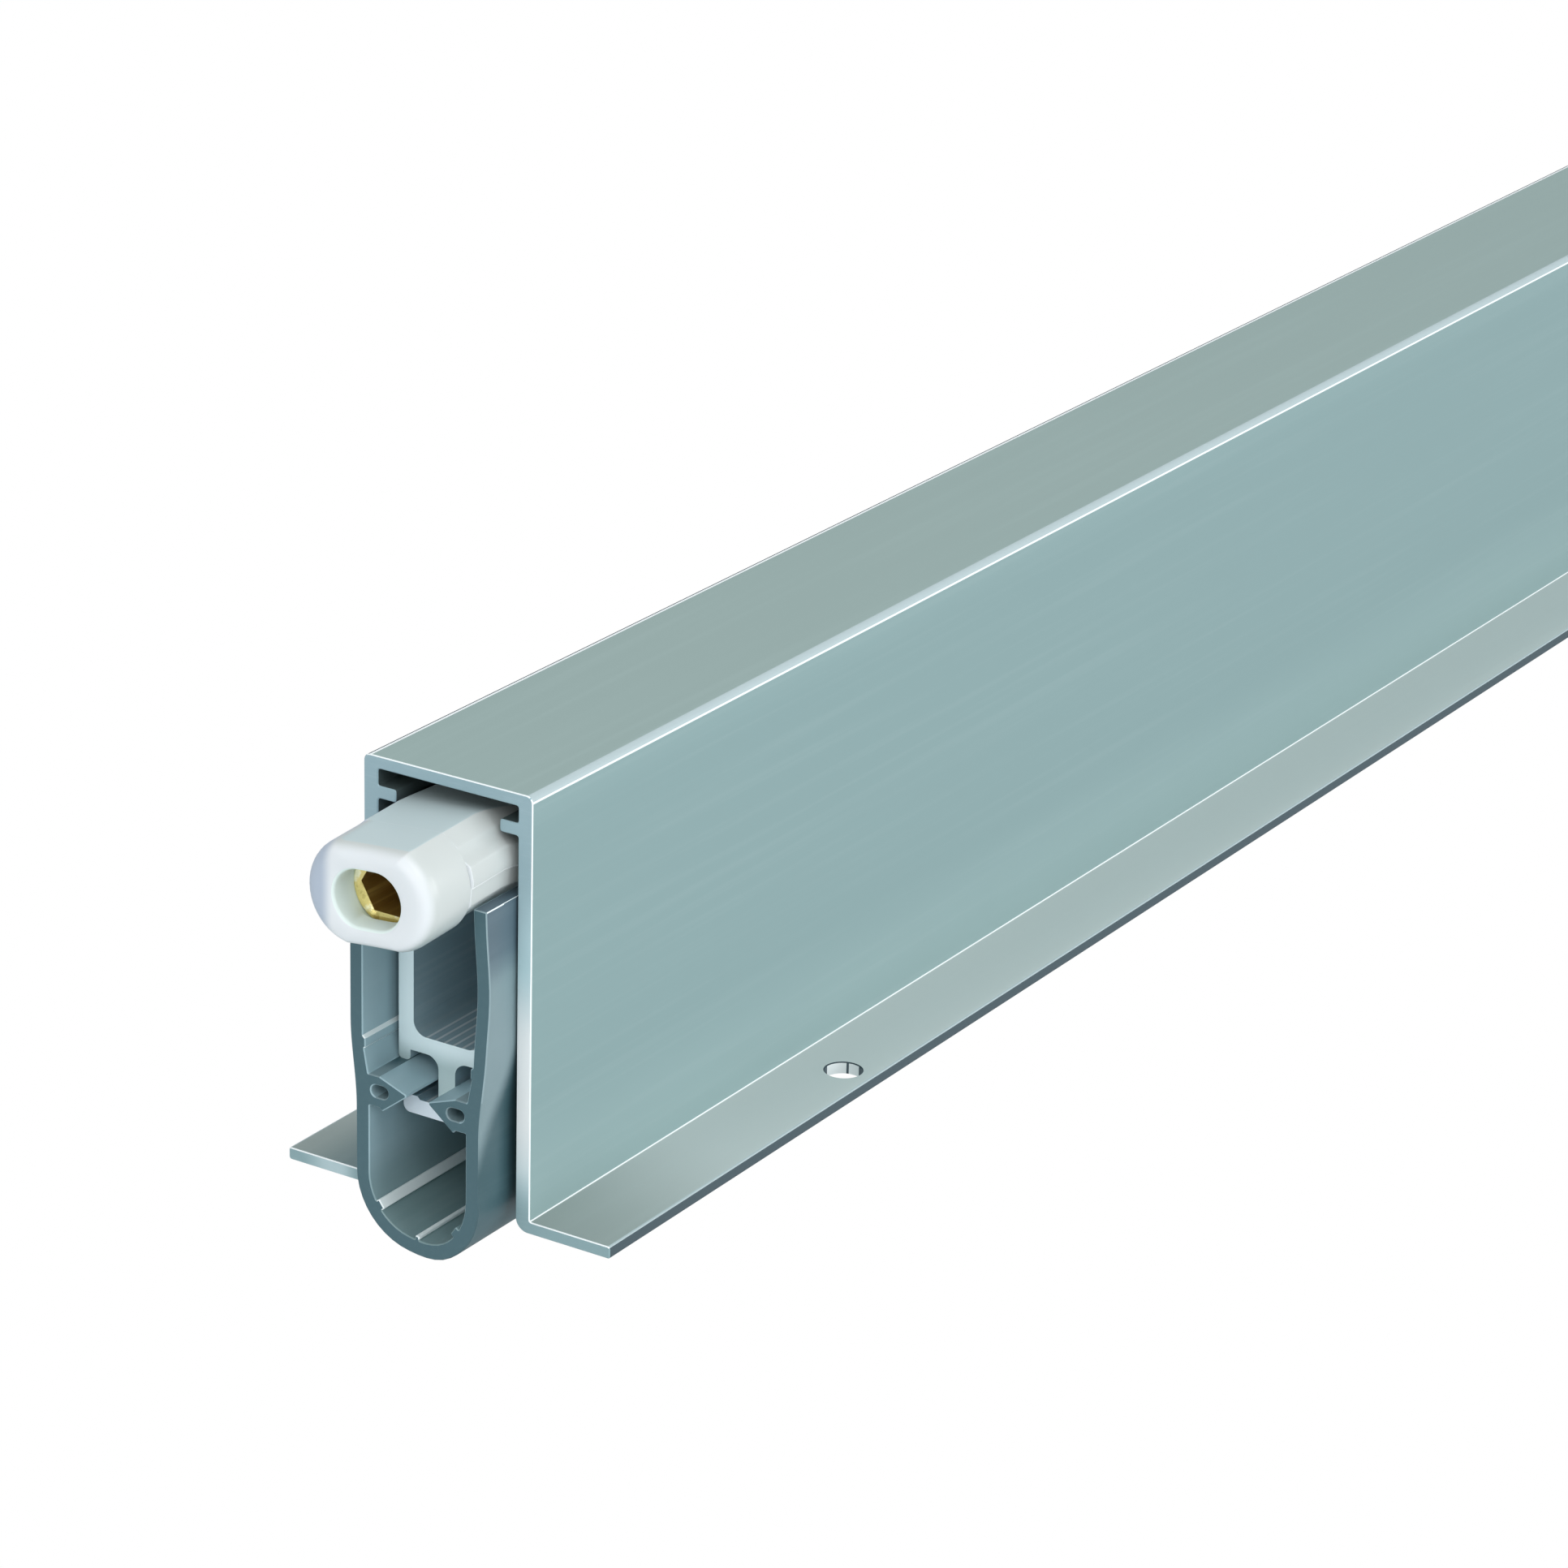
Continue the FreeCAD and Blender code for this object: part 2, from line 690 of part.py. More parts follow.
def make_anchor_screws():
    """Socket screws that jack each block down on the ribs, their tips against the roof."""
    screws = []
    for end, pivot_x in (("front", front_pivot_x), ("rear", rear_pivot_x)):
        shank = cylinder(f"screw_shank_{end}", s.screw_diameter / 2, s.screw_length)
        socket = doc.addObject("Part::Prism", f"screw_socket_{end}")
        socket.Polygon = 6
        bind(socket, "Circumradius", s.screw_socket / as_size(3).root())
        bind(socket, "Height", s.screw_socket_depth)
        screw = doc.addObject("Part::Cut", f"anchor_screw_{end}")
        screw.Base = shank
        screw.Tool = socket
        place(screw, pivot_x + s.screw_offset, s.screw_reach, ceiling - s.screw_length)
        screws.append(screw)
    group = doc.addObject("Part::Compound", "anchor_screws")
    group.Links = screws
    keep(group, "anchor_screws")


def make_crank(name, pivot_x):
    """Bell crank: a long arm that carries the seal, a short one with a round nose."""
    body = new_body(name)
    long_arm = sketch_on(body, name + "_long_arm", "XZ_Plane")
    draw_loop(long_arm, slot_loop(s.lower_arm / 2, ZERO, s.lower_arm / 2, s.hub_radius))
    pad(body, long_arm, s.crank_thickness, both_ways=True)
    short_arm = sketch_on(body, name + "_short_arm", "XZ_Plane")
    half = s.upper_arm_width / 2
    draw_loop(short_arm, box_loop(-half, ZERO, half, upper_arm))
    pad(body, short_arm, s.crank_thickness, both_ways=True)
    nose = sketch_on(body, name + "_nose", "XZ_Plane")
    draw_circle(nose, ZERO, upper_arm, s.nose_radius)
    pad(body, nose, s.crank_thickness, both_ways=True)
    bores = sketch_on(body, name + "_bores", "XZ_Plane")
    draw_circle(bores, ZERO, ZERO, s.pivot_diameter / 2 + s.running_clearance)
    draw_circle(bores, s.lower_arm, ZERO, s.arm_pin_diameter / 2)
    cut(body, bores, THROUGH * s.crank_thickness, both_ways=True)
    place(body, pivot_x, ZERO, pivot_z, (0, -1, 0), swing_degrees)
    keep(body, name)


def make_pins():
    """Pivot pins pressed in the blocks and arm pins pressed in the cranks."""
    pivot_length = 2 * (carrier_inner - s.block_cheek_gap)
    arm_length = 2 * (carrier_outer - s.arm_pin_inset)
    for end, pivot_x in (("front", front_pivot_x), ("rear", rear_pivot_x)):
        pivot_radius = s.pivot_diameter / 2
        pivot = pin_along_y(f"pivot_pin_{end}", pivot_radius, pivot_length, pivot_x, pivot_z)
        keep(pivot, f"pivot_pin_{end}")
        pin_x = pivot_x + arm_pin_reach
        pin_radius = s.arm_pin_diameter / 2
        arm_pin = pin_along_y(f"arm_pin_{end}", pin_radius, arm_length, pin_x, arm_pin_z)
        keep(arm_pin, f"arm_pin_{end}")


def make_bar():
    """Flat bar with a notched tab over each crank, so that its travel turns them."""
    body = new_body("actuating_bar")
    section = sketch_on(body, "bar_side", "XZ_Plane")
    top = s.bar_height / 2
    notch_half = s.nose_radius + s.notch_play
    tab_half = notch_half + s.notch_wall
    nose_low = pivot_z + upper_arm * swing_cosine - axis_z
    tab_bottom = nose_low - s.notch_overlap
    outline = [(bar_start_x, top), (bar_start_x, -top)]
    for pivot_x in (front_pivot_x, rear_pivot_x):
        notch_x = pivot_x - half_stroke
        outline += [
            (notch_x - tab_half, -top),
            (notch_x - tab_half, tab_bottom),
            (notch_x - notch_half, tab_bottom),
            (notch_x - notch_half, -top),
            (notch_x + notch_half, -top),
            (notch_x + notch_half, tab_bottom),
            (notch_x + tab_half, tab_bottom),
            (notch_x + tab_half, -top),
        ]
    outline += [(bar_end_x, -top), (bar_end_x, top)]
    draw_loop(section, outline)
    pad(body, section, s.bar_thickness, both_ways=True)
    holes = sketch_on(body, "bar_holes", "XZ_Plane")
    draw_circle(holes, coupler_end_x - s.rivet_setback, ZERO, s.rivet_diameter / 2)
    draw_circle(holes, stop_pin_x, ZERO, s.stop_pin_diameter / 2)
    cut(body, holes, THROUGH * s.bar_thickness, both_ways=True)
    place(body, ZERO, ZERO, axis_z)
    keep(body, "actuating_bar")


def make_spring_seat(name, x):
    """Washer with a rectangular hole for the bar."""
    body = new_body(name)
    face = sketch_on(body, name + "_face", "YZ_Plane")
    draw_circle(face, ZERO, ZERO, s.spring_diameter / 2)
    hole_y = s.bar_thickness / 2 + s.seat_play
    hole_z = s.bar_height / 2 + s.seat_play
    draw_loop(face, box_loop(-hole_y, -hole_z, hole_y, hole_z))
    pad(body, face, s.seat_thickness)
    place(body, x, ZERO, axis_z)
    keep(body, name)


def make_spring():
    """Compression spring of square wire round the bar, wound between its two seats."""
    body = new_body("return_spring")
    wire = sketch_on(body, "spring_wire_end", "XZ_Plane")
    coil_radius = s.spring_diameter / 2
    draw_loop(wire, box_loop(ZERO, coil_radius - s.spring_wire, s.spring_wire, coil_radius))
    coil = body.newObject("PartDesign::AdditiveHelix", "spring_coil")
    coil.Profile = wire
    coil.ReferenceAxis = (plane(body, "X_Axis"), [""])
    coil.Mode = "height-turns-growth"
    coil.Growth = 0
    bind(coil, "Height", s.spring_length - s.spring_wire)
    bind(coil, "Turns", s.spring_turns)
    place(body, spring_start_x, ZERO, axis_z)
    keep(body, "return_spring")


def make_coupler():
    """Round coupler: the adjuster's tail turns in its front, the bar is riveted in its rear."""
    body = new_body("coupler")
    face = sketch_on(body, "coupler_face", "YZ_Plane")
    draw_circle(face, ZERO, ZERO, coupler_radius)
    pad(body, face, s.coupler_length)
    bore = sketch_on(body, "coupler_bore", "YZ_Plane")
    draw_circle(bore, ZERO, ZERO, s.tail_diameter / 2 + s.running_clearance)
    cut(body, bore, s.tail_length + s.coupler_gap)
    slot = sketch_on(body, "coupler_slot", "YZ_Plane", s.coupler_length)
    half_y, half_z = s.bar_thickness / 2, s.bar_height / 2
    draw_loop(slot, box_loop(-half_y, -half_z, half_y, half_z))
    cut(body, slot, s.coupler_slot_depth, forwards=False)
    cross = sketch_on(body, "coupler_rivet_hole", "XZ_Plane")
    draw_circle(cross, s.coupler_length - s.rivet_setback, ZERO, s.rivet_diameter / 2)
    cut(body, cross, THROUGH * coupler_radius, both_ways=True)
    keeper = sketch_on(body, "coupler_keeper_hole", "XY_Plane")
    draw_circle(keeper, keeper_setback, keeper_reach, s.keeper_diameter / 2)
    cut(body, keeper, THROUGH * coupler_radius, both_ways=True)
    place(body, coupler_x, ZERO, axis_z)
    keep(body, "coupler")


def make_coupler_pins():
    """The rivet through the bar's end, the keeper beside the adjuster's neck, the stop."""
    rivet_x = coupler_end_x - s.rivet_setback
    rivet_half = coupler_radius - s.running_clearance
    rivet = pin_along_y("coupler_rivet", s.rivet_diameter / 2, 2 * rivet_half, rivet_x, axis_z)
    keep(rivet, "coupler_rivet")
    edge = keeper_reach + s.keeper_diameter / 2
    half = (coupler_radius * coupler_radius - edge * edge).root()
    keeper = cylinder("keeper_pin", s.keeper_diameter / 2, 2 * half)
    place(keeper, coupler_x + keeper_setback, keeper_reach, axis_z - half)
    keep(keeper, "keeper_pin")
    stop_radius = s.stop_pin_diameter / 2
    stop = pin_along_y("spring_stop_pin", stop_radius, s.stop_pin_length, stop_pin_x, axis_z)
    keep(stop, "spring_stop_pin")


def make_adjuster():
    """Brass screw with a hexagon socket in front and a grooved tail behind."""
    body = new_body("adjuster_screw")
    side = sketch_on(body, "adjuster_side", "XZ_Plane")
    radius = s.adjuster_diameter / 2
    chamfer = s.adjuster_chamfer
    tail = s.tail_diameter / 2
    neck = s.tail_neck_diameter / 2
    neck_middle = s.adjuster_length + s.tail_length / 2
    neck_half = s.tail_neck_width / 2
    tail_end = s.adjuster_length + s.tail_length
    draw_loop(side, [
        (ZERO, ZERO),
        (tail_end, ZERO),
        (tail_end, tail),
        (neck_middle + neck_half, tail),
        (neck_middle + neck_half, neck),
        (neck_middle - neck_half, neck),
        (neck_middle - neck_half, tail),
        (s.adjuster_length, tail),
        (s.adjuster_length, radius - chamfer),
        (s.adjuster_length - chamfer, radius),
        (chamfer, radius),
        (ZERO, radius - chamfer),
    ])
    revolve(body, side, "X_Axis")
    socket = sketch_on(body, "adjuster_socket", "YZ_Plane")
    draw_loop(socket, hexagon(ZERO, ZERO, s.socket_width / as_size(3).root()))
    cut(body, socket, s.socket_depth)
    place(body, adjuster_x, ZERO, axis_z)
    keep(body, "adjuster_screw")


def make_trigger():
    """White release button: flat-sided round head in front, ribbed guide behind."""
    body = new_body("release_button")
    head = sketch_on(body, "head_section", "YZ_Plane", s.head_front_bevel)
    flat = s.head_flat / 2
    foot_flat = s.head_foot_flat / 2
    side = s.head_side_radius
    draw_loop(head, [
        (-foot_flat, -head_half_height),
        (foot_flat, -head_half_height, side, LEFT_TURN),
        (flat, head_half_height),
        (-flat, head_half_height, side, LEFT_TURN),
    ])
    pad(body, head, s.head_length - s.head_front_bevel)
    bevel = body.newObject("PartDesign::Pad", "head_front_bevel")
    bevel.Profile = head
    bevel.Reversed = True
    bevel.TaperAngle = BEVEL_TAPER
    bind(bevel, "Length", s.head_front_bevel)
    guide = sketch_on(body, "guide_section", "YZ_Plane", s.head_length)
    guide_half = cavity_half - s.guide_side_gap
    groove = rib_tip - s.groove_gap
    groove_bottom = rib_bottom - s.groove_gap - axis_z
    waist = seal_inner - s.guide_waist_gap
    step = guide_step - axis_z
    draw_loop(guide, symmetric([
        (flat, head_half_height),
        (groove, groove_bottom, s.groove_radius, LEFT_TURN),
        (groove + s.groove_radius, groove_bottom - s.groove_radius / 2),
        (guide_half, groove_bottom - s.groove_radius),
        (guide_half, step),
        (waist, step),
        (waist, guide_waist_bottom - axis_z),
        (s.guide_keel_flat / 2, -head_half_height),
    ]))
    pad(body, guide, s.guide_length)
    mouth = sketch_on(body, "mouth", "YZ_Plane")
    mouth_radius = s.mouth_height / 2
    mouth_half = s.mouth_width / 2 - mouth_radius
    draw_loop(mouth, slot_loop(ZERO, -s.mouth_drop, mouth_half, mouth_radius))
    cut(body, mouth, s.mouth_depth)
    bore = sketch_on(body, "adjuster_bore", "YZ_Plane", s.mouth_depth)
    draw_circle(bore, ZERO, ZERO, trigger_bore)
    cut(body, bore, s.head_length + s.guide_length)
    place(body, trigger_x, ZERO, axis_z)
    keep(body, "release_button")


def report_and_write():
    """Stop at anything that failed, then write one file per sub-part."""
    doc.recompute()
    for thing in doc.Objects:
        if "Invalid" in thing.State or "Error" in thing.State:
            raise RuntimeError(f"{thing.Name} failed: {thing.State}")
    for node in nodes:
        if node.Shape.isNull() or not node.Shape.isValid():
            raise RuntimeError(f"{node.Label} has no valid shape")
    os.makedirs("parts", exist_ok=True)
    for node in nodes:
        node.Shape.exportStep(f"parts/{node.Label}.step")
        box = node.Shape.BoundBox
        print(f"{node.Label}: {len(node.Shape.Solids)} solid, {node.Shape.Volume:.1f} mm3,"
              f" x {box.XMin:.2f} {box.XMax:.2f}, y {box.YMin:.2f} {box.YMax:.2f},"
              f" z {box.ZMin:.2f} {box.ZMax:.2f}")
    print(f"trigger stroke {2 * half_stroke.value:.4f}, crank swing {2 * swing_degrees.value:.4f}")


make_housing()
make_seal()
make_carrier()
make_block("anchor_block_front", front_pivot_x)
make_block("anchor_block_rear", rear_pivot_x)
make_anchor_screws()
make_crank("crank_front", front_pivot_x)
make_crank("crank_rear", rear_pivot_x)
make_pins()
make_bar()
make_spring_seat("spring_seat_front", front_seat_x)
make_spring_seat("spring_seat_rear", spring_end_x)
make_spring()
make_coupler()
make_coupler_pins()
make_adjuster()
make_trigger()
report_and_write()
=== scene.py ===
import json
import math

import bmesh
import bpy
from mathutils import Matrix, Vector


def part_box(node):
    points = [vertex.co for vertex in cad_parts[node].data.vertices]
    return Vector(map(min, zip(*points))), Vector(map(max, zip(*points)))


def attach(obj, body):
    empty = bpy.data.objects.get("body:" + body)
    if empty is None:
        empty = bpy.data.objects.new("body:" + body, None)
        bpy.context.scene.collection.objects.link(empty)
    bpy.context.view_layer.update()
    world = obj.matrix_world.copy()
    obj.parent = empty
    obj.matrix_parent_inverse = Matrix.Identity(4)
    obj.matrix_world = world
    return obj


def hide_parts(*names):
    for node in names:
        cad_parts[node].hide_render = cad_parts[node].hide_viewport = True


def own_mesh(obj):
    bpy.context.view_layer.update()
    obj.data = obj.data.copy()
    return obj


# An automatic door bottom seal: a flanged aluminium housing with a silicone seal that hangs in
# it on a carrier, and a white release button with a brass adjusting screw at its front end.
# Lengths are millimetres until a mesh is made. Materials, lights and the camera work in metres.

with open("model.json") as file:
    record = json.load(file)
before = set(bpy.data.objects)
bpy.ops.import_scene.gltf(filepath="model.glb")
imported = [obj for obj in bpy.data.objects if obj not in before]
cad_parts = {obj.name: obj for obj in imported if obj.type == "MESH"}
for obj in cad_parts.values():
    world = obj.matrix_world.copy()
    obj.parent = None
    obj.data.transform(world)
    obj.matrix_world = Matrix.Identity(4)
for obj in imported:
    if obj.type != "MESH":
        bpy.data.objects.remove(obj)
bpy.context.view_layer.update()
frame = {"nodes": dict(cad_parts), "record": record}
nodes = frame["nodes"]

MM = 0.001
CORNER_ANGLE = math.radians(28)  # an outline turns a corner from here on
CORNER_SHARE = 0.42              # share of a side that a rounded corner may take
SMOOTH_ANGLE = math.radians(32)  # faces are shaded as one up to here
SQUARE, SLANTED = 0.9, 0.2       # share of a normal along X on a cut end and on its broken edge
UPRIGHT, LEVEL = 0.02, 0.99      # share of a normal along Z on an upright and on a level face


def extent(node):
    """The low and the high corner of a node's box, in millimetres."""
    low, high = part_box(node)
    return low / MM, high / MM


def adjuster_axis():
    """The height of the adjuster's axis, in millimetres."""
    low, high = extent("adjuster_screw")
    return (low.z + high.z) / 2


def smooth_step(value, start, end):
    """Zero at start, one at end and a smooth step between them."""
    share = min(max((value - start) / (end - start), 0.0), 1.0)
    return share * share * (3 - 2 * share)


def full_turn(count):
    """Angles all the way round, in equal steps."""
    return [2 * math.pi * k / count for k in range(count)]


def quarter_turn(steps):
    """Angles from zero to a right angle, in equal steps."""
    return [math.pi / 2 * k / steps for k in range(steps + 1)]


# Outlines in Y and Z

def end_loops(node):
    """The closed outlines, in Y and Z, of the flat face at a node's front end."""
    mesh = nodes[node].data
    end = min(vertex.co.x for vertex in mesh.vertices)
    links = {}
    mesh.calc_loop_triangles()
    for triangle in mesh.loop_triangles:
        places = [mesh.vertices[i].co for i in triangle.vertices]
        if max(abs(p.x - end) for p in places) > 1e-7:
            continue
        keys = [(round(p.y / MM, 4), round(p.z / MM, 4)) for p in places]
        for a, b in zip(keys, keys[1:] + keys[:1]):
            if (b, a) in links:
                del links[(b, a)]
            else:
                links[(a, b)] = True
    following = {}
    for a, b in links:
        following.setdefault(a, []).append(b)
    loops = []
    while following:
        start = next(iter(following))
        loop = [start]
        here = start
        while True:
            options = following[here]
            there = options.pop()
            if not options:
                del following[here]
            if there == start:
                break
            loop.append(there)
            here = there
        loops.append([Vector(c) for c in loop])
    return [without_straight_corners(loop) for loop in loops]


def without_straight_corners(loop):
    """The same outline without corners in the middle of a straight side."""
    kept = []
    count = len(loop)
    for i, point in enumerate(loop):
        before = (point - loop[i - 1]).normalized()
        after = (loop[(i + 1) % count] - point).normalized()
        if before.dot(after) < 0.99999:
            kept.append(point)
    return kept


def cut_side(start, end, spacing):
    """Points along a side from its start, at most one spacing apart, without its end."""
    pieces = max(1, math.ceil((end - start).length / spacing))
    return [start.lerp(end, k / pieces) for k in range(pieces)]


def divided(loop, spacing):
    """The same outline with its long sides cut into shorter ones."""
    result = []
    for i, point in enumerate(loop):
        result += cut_side(point, loop[(i + 1) % len(loop)], spacing)
    return result


def rounded_corners(loop, radius, steps=3):
    """Round each sharp corner of an outline, by less where its sides are short."""
    result = []
    count = len(loop)
    for i, point in enumerate(loop):
        inward = point - loop[i - 1]
        outward = loop[(i + 1) % count] - point
        turn = inward.angle(outward)
        if turn < CORNER_ANGLE:
            result.append(point.copy())
            continue
        longest = CORNER_SHARE * min(inward.length, outward.length)
        reach = min(radius * math.tan(turn / 2), longest)
        first = point - inward.normalized() * reach
        last = point + outward.normalized() * reach
        for k in range(steps + 1):
            t = k / steps
            result.append(first * (1 - t) ** 2 + point * (2 * t * (1 - t)) + last * t ** 2)
    return result


def inset(loop, distance):
    """Move an outline towards its material, a sharp corner at most twice as far.

    Outlines run anticlockwise round material.
    """
    moved = []
    count = len(loop)
    for i, point in enumerate(loop):
        before = (point - loop[i - 1]).normalized()
        after = (loop[(i + 1) % count] - point).normalized()
        side = Vector((-before.y - after.y, before.x + after.x))
        if side.length < 1e-6:
            side = Vector((-before.y, before.x))
        side.normalize()
        share = max(side.dot(Vector((-before.y, before.x))), 0.5)
        moved.append(point + side * (distance / share))
    return moved


def turned_area(loop):
    """The area of an outline, negative where it runs clockwise."""
    total = 0
    for i, point in enumerate(loop):
        following = loop[(i + 1) % len(loop)]
        total += point.x * following.y - following.x * point.y
    return total / 2


def oriented(loops):
    """The outer outline anticlockwise and each hole clockwise."""
    loops = sorted(loops, key=lambda loop: -abs(turned_area(loop)))
    result = []
    for i, loop in enumerate(loops):
        wanted = 1 if i == 0 else -1
        result.append(loop if turned_area(loop) * wanted > 0 else loop[::-1])
    return result


def reach_at(loop, angle):
    """How far a convex outline lies from the middle in one direction."""
    way = Vector((math.cos(angle), math.sin(angle)))
    best = 0.0
    for i, a in enumerate(loop):
        side = loop[(i + 1) % len(loop)] - a
        across = way.x * side.y - way.y * side.x
        if abs(across) < 1e-12:
            continue
        distance = (a.x * side.y - a.y * side.x) / across
        share = (a.x * way.y - a.y * way.x) / across
        if -1e-9 <= share <= 1 + 1e-9 and distance > best:
            best = distance
    return best


# Meshes

def finish_mesh(bm, name, materials, smooth_angle=SMOOTH_ANGLE):
    """Turn a mesh drawn in millimetres into a smoothly shaded object in metres."""
    bmesh.ops.remove_doubles(bm, verts=bm.verts, dist=1e-5)
    bmesh.ops.recalc_face_normals(bm, faces=bm.faces)
    bmesh.ops.scale(bm, vec=(MM, MM, MM), verts=bm.verts)
    mesh = bpy.data.meshes.new(name)
    bm.to_mesh(mesh)
    bm.free()
    for polygon in mesh.polygons:
        polygon.use_smooth = True
    mesh.set_sharp_from_angle(angle=smooth_angle)
    piece = bpy.data.objects.new(name, mesh)
    bpy.context.scene.collection.objects.link(piece)
    for material in materials:
        mesh.materials.append(material)
    return piece


def stacked(bm, rings):
    """Join closed rings of corners, each with the same count, by side faces."""
    for lower, upper in zip(rings, rings[1:]):
        count = len(lower)
        for i in range(count):
            j = (i + 1) % count
            bm.faces.new((lower[i], lower[j], upper[j], upper[i]))


def capped(bm, rings):
    """A closed solid from rings of places, with a cap on the first and on the last."""
    rows = [[bm.verts.new(place) for place in ring] for ring in rings]
    stacked(bm, rows)
    bm.faces.new(rows[0])
    bm.faces.new(rows[-1])


def shell(bm, rings):
    """A closed ring-shaped solid from rings of places that run outside, then back inside."""
    rows = [[bm.verts.new(place) for place in ring] for ring in rings]
    stacked(bm, rows + [rows[0]])


def extruded(name, loops, stations, materials, edge, corner, shape=None):
    """A profile run along X through stations, its corners rounded and both ends' edges broken.

    Shape, where it is given, moves a point of the profile by its X.
    """
    bm = bmesh.new()
    end_edges = ([], [])
    front, back = stations[0], stations[-1]
    for loop in oriented(loops):
        outline = rounded_corners(loop, corner)
        small = inset(outline, edge)
        runs = [(front, small), (front + edge, outline)]
        runs += [(x, outline) for x in stations[1:-1]]
        runs += [(back - edge, outline), (back, small)]
        rings = []
        for x, ring in runs:
            points = [shape(x, p) for p in ring] if shape else ring
            rings.append([bm.verts.new((x, p.x, p.y)) for p in points])
        stacked(bm, rings)
        for ring, edges in zip((rings[0], rings[-1]), end_edges):
            for i, vertex in enumerate(ring):
                edges.append(bm.edges.get((vertex, ring[(i + 1) % len(ring)])))
    for edges in end_edges:
        bmesh.ops.triangle_fill(bm, use_beauty=True, edges=edges)
    return finish_mesh(bm, name, materials)


def cylinder(name, start, end, radius, materials, corners=48):
    bm = bmesh.new()
    start, end = Vector(start), Vector(end)
    axis = end - start
    turn = axis.to_track_quat("Z", "Y").to_matrix().to_4x4()
    place = Matrix.Translation((start + end) / 2) @ turn
    bmesh.ops.create_cone(bm, cap_ends=True, segments=corners, radius1=radius,
                          radius2=radius, depth=axis.length, matrix=place)
    return finish_mesh(bm, name, materials)


def cut_away(piece, tools):
    """Take each tool's solid out of the piece, then drop the tools."""
    for tool in tools:
        modifier = piece.modifiers.new("cut", "BOOLEAN")
        modifier.operation = "DIFFERENCE"
        modifier.solver = "EXACT"
        modifier.object = tool
    graph = bpy.context.evaluated_depsgraph_get()
    mesh = bpy.data.meshes.new_from_object(piece.evaluated_get(graph))
    piece.modifiers.clear()
    piece.data = mesh
    mesh.set_sharp_from_angle(angle=SMOOTH_ANGLE)
    for tool in tools:
        bpy.data.objects.remove(tool)


def paint_faces(piece, choose):
    """Give each face the material slot that choose names from its normal and middle."""
    for polygon in piece.data.polygons:
        polygon.material_index = choose(polygon.normal, polygon.center / MM)


# Materials

class Shades:
    """A principled material whose colour is built from shader nodes step by step."""

    def __init__(self, name, color, roughness, metallic=0.0):
        self.material = bpy.data.materials.new(name)
        self.material.use_nodes = True
        self.tree = self.material.node_tree
        self.shader = self.tree.nodes["Principled BSDF"]
        self.shader.inputs["Base Color"].default_value = (*color, 1)
        self.shader.inputs["Roughness"].default_value = roughness
        self.shader.inputs["Metallic"].default_value = metallic
        self.color = None
        self.flat = (*color, 1)
        self.place = self.tree.nodes.new("ShaderNodeTexCoord").outputs["Object"]

    def link(self, start, end):
        self.tree.links.new(start, end)

    def axis(self, which, of=None):
        """One coordinate of the place on the object, in metres, or of another vector."""
        split = self.tree.nodes.new("ShaderNodeSeparateXYZ")
        self.link(of or self.place, split.inputs[0])
        return split.outputs[which]

    def math(self, kind, a, b=0.0):
        """A sum, product or the like of two values, each a number or a socket."""
        node = self.tree.nodes.new("ShaderNodeMath")
        node.operation = kind
        for socket, value in zip(node.inputs, (a, b)):
            if isinstance(value, (int, float)):
                socket.default_value = value
            else:
                self.link(value, socket)
        return node.outputs[0]

    def product(self, a, b):
        return self.math("MULTIPLY", a, b)

    def ramp(self, value, low, high):
        """Zero at low, one at high and a smooth step between them."""
        node = self.tree.nodes.new("ShaderNodeMapRange")
        node.interpolation_type = "SMOOTHSTEP"
        node.inputs["From Min"].default_value = low
        node.inputs["From Max"].default_value = high
        self.link(value, node.inputs["Value"])
        return node.outputs["Result"]

    def noise(self, scale, detail=4.0):
        """Cloudy noise with its own scale along each axis."""
        stretch = self.tree.nodes.new("ShaderNodeMapping")
        stretch.inputs["Scale"].default_value = scale
        noise = self.tree.nodes.new("ShaderNodeTexNoise")
        noise.inputs["Scale"].default_value = 1.0
        noise.inputs["Detail"].default_value = detail
        self.link(self.place, stretch.inputs["Vector"])
        self.link(stretch.outputs["Vector"], noise.inputs["Vector"])
        return noise.outputs["Fac"]

    def normal_axis(self, which):
        """How far the surface faces along one axis, either way, from zero to one."""
        geometry = self.tree.nodes.new("ShaderNodeNewGeometry")
        return self.math("ABSOLUTE", self.axis(which, geometry.outputs["Normal"]))

    def blend(self, share, color):
        """Mix another colour into the one so far, by a share from zero to one."""
        mix = self.tree.nodes.new("ShaderNodeMix")
        mix.data_type = "RGBA"
        factor, before, added = (mix.inputs[i] for i in (0, 6, 7))
        if self.color is None:
            before.default_value = self.flat
        else:
            self.link(self.color, before)
        added.default_value = (*color, 1)
        self.link(share, factor)
        self.color = mix.outputs[2]
        self.link(self.color, self.shader.inputs["Base Color"])

    def vary(self, socket, value, low, high):
        """Drive a plain socket between two numbers."""
        node = self.tree.nodes.new("ShaderNodeMapRange")
        node.inputs["To Min"].default_value = low
        node.inputs["To Max"].default_value = high
        self.link(value, node.inputs["Value"])
        self.link(node.outputs["Result"], self.shader.inputs[socket])

    def relief(self, value, strength, distance):
        """Raise and sink the surface a little by a value."""
        bump = self.tree.nodes.new("ShaderNodeBump")
        bump.inputs["Strength"].default_value = strength
        bump.inputs["Distance"].default_value = distance
        self.link(value, bump.inputs["Height"])
        self.link(bump.outputs["Normal"], self.shader.inputs["Normal"])


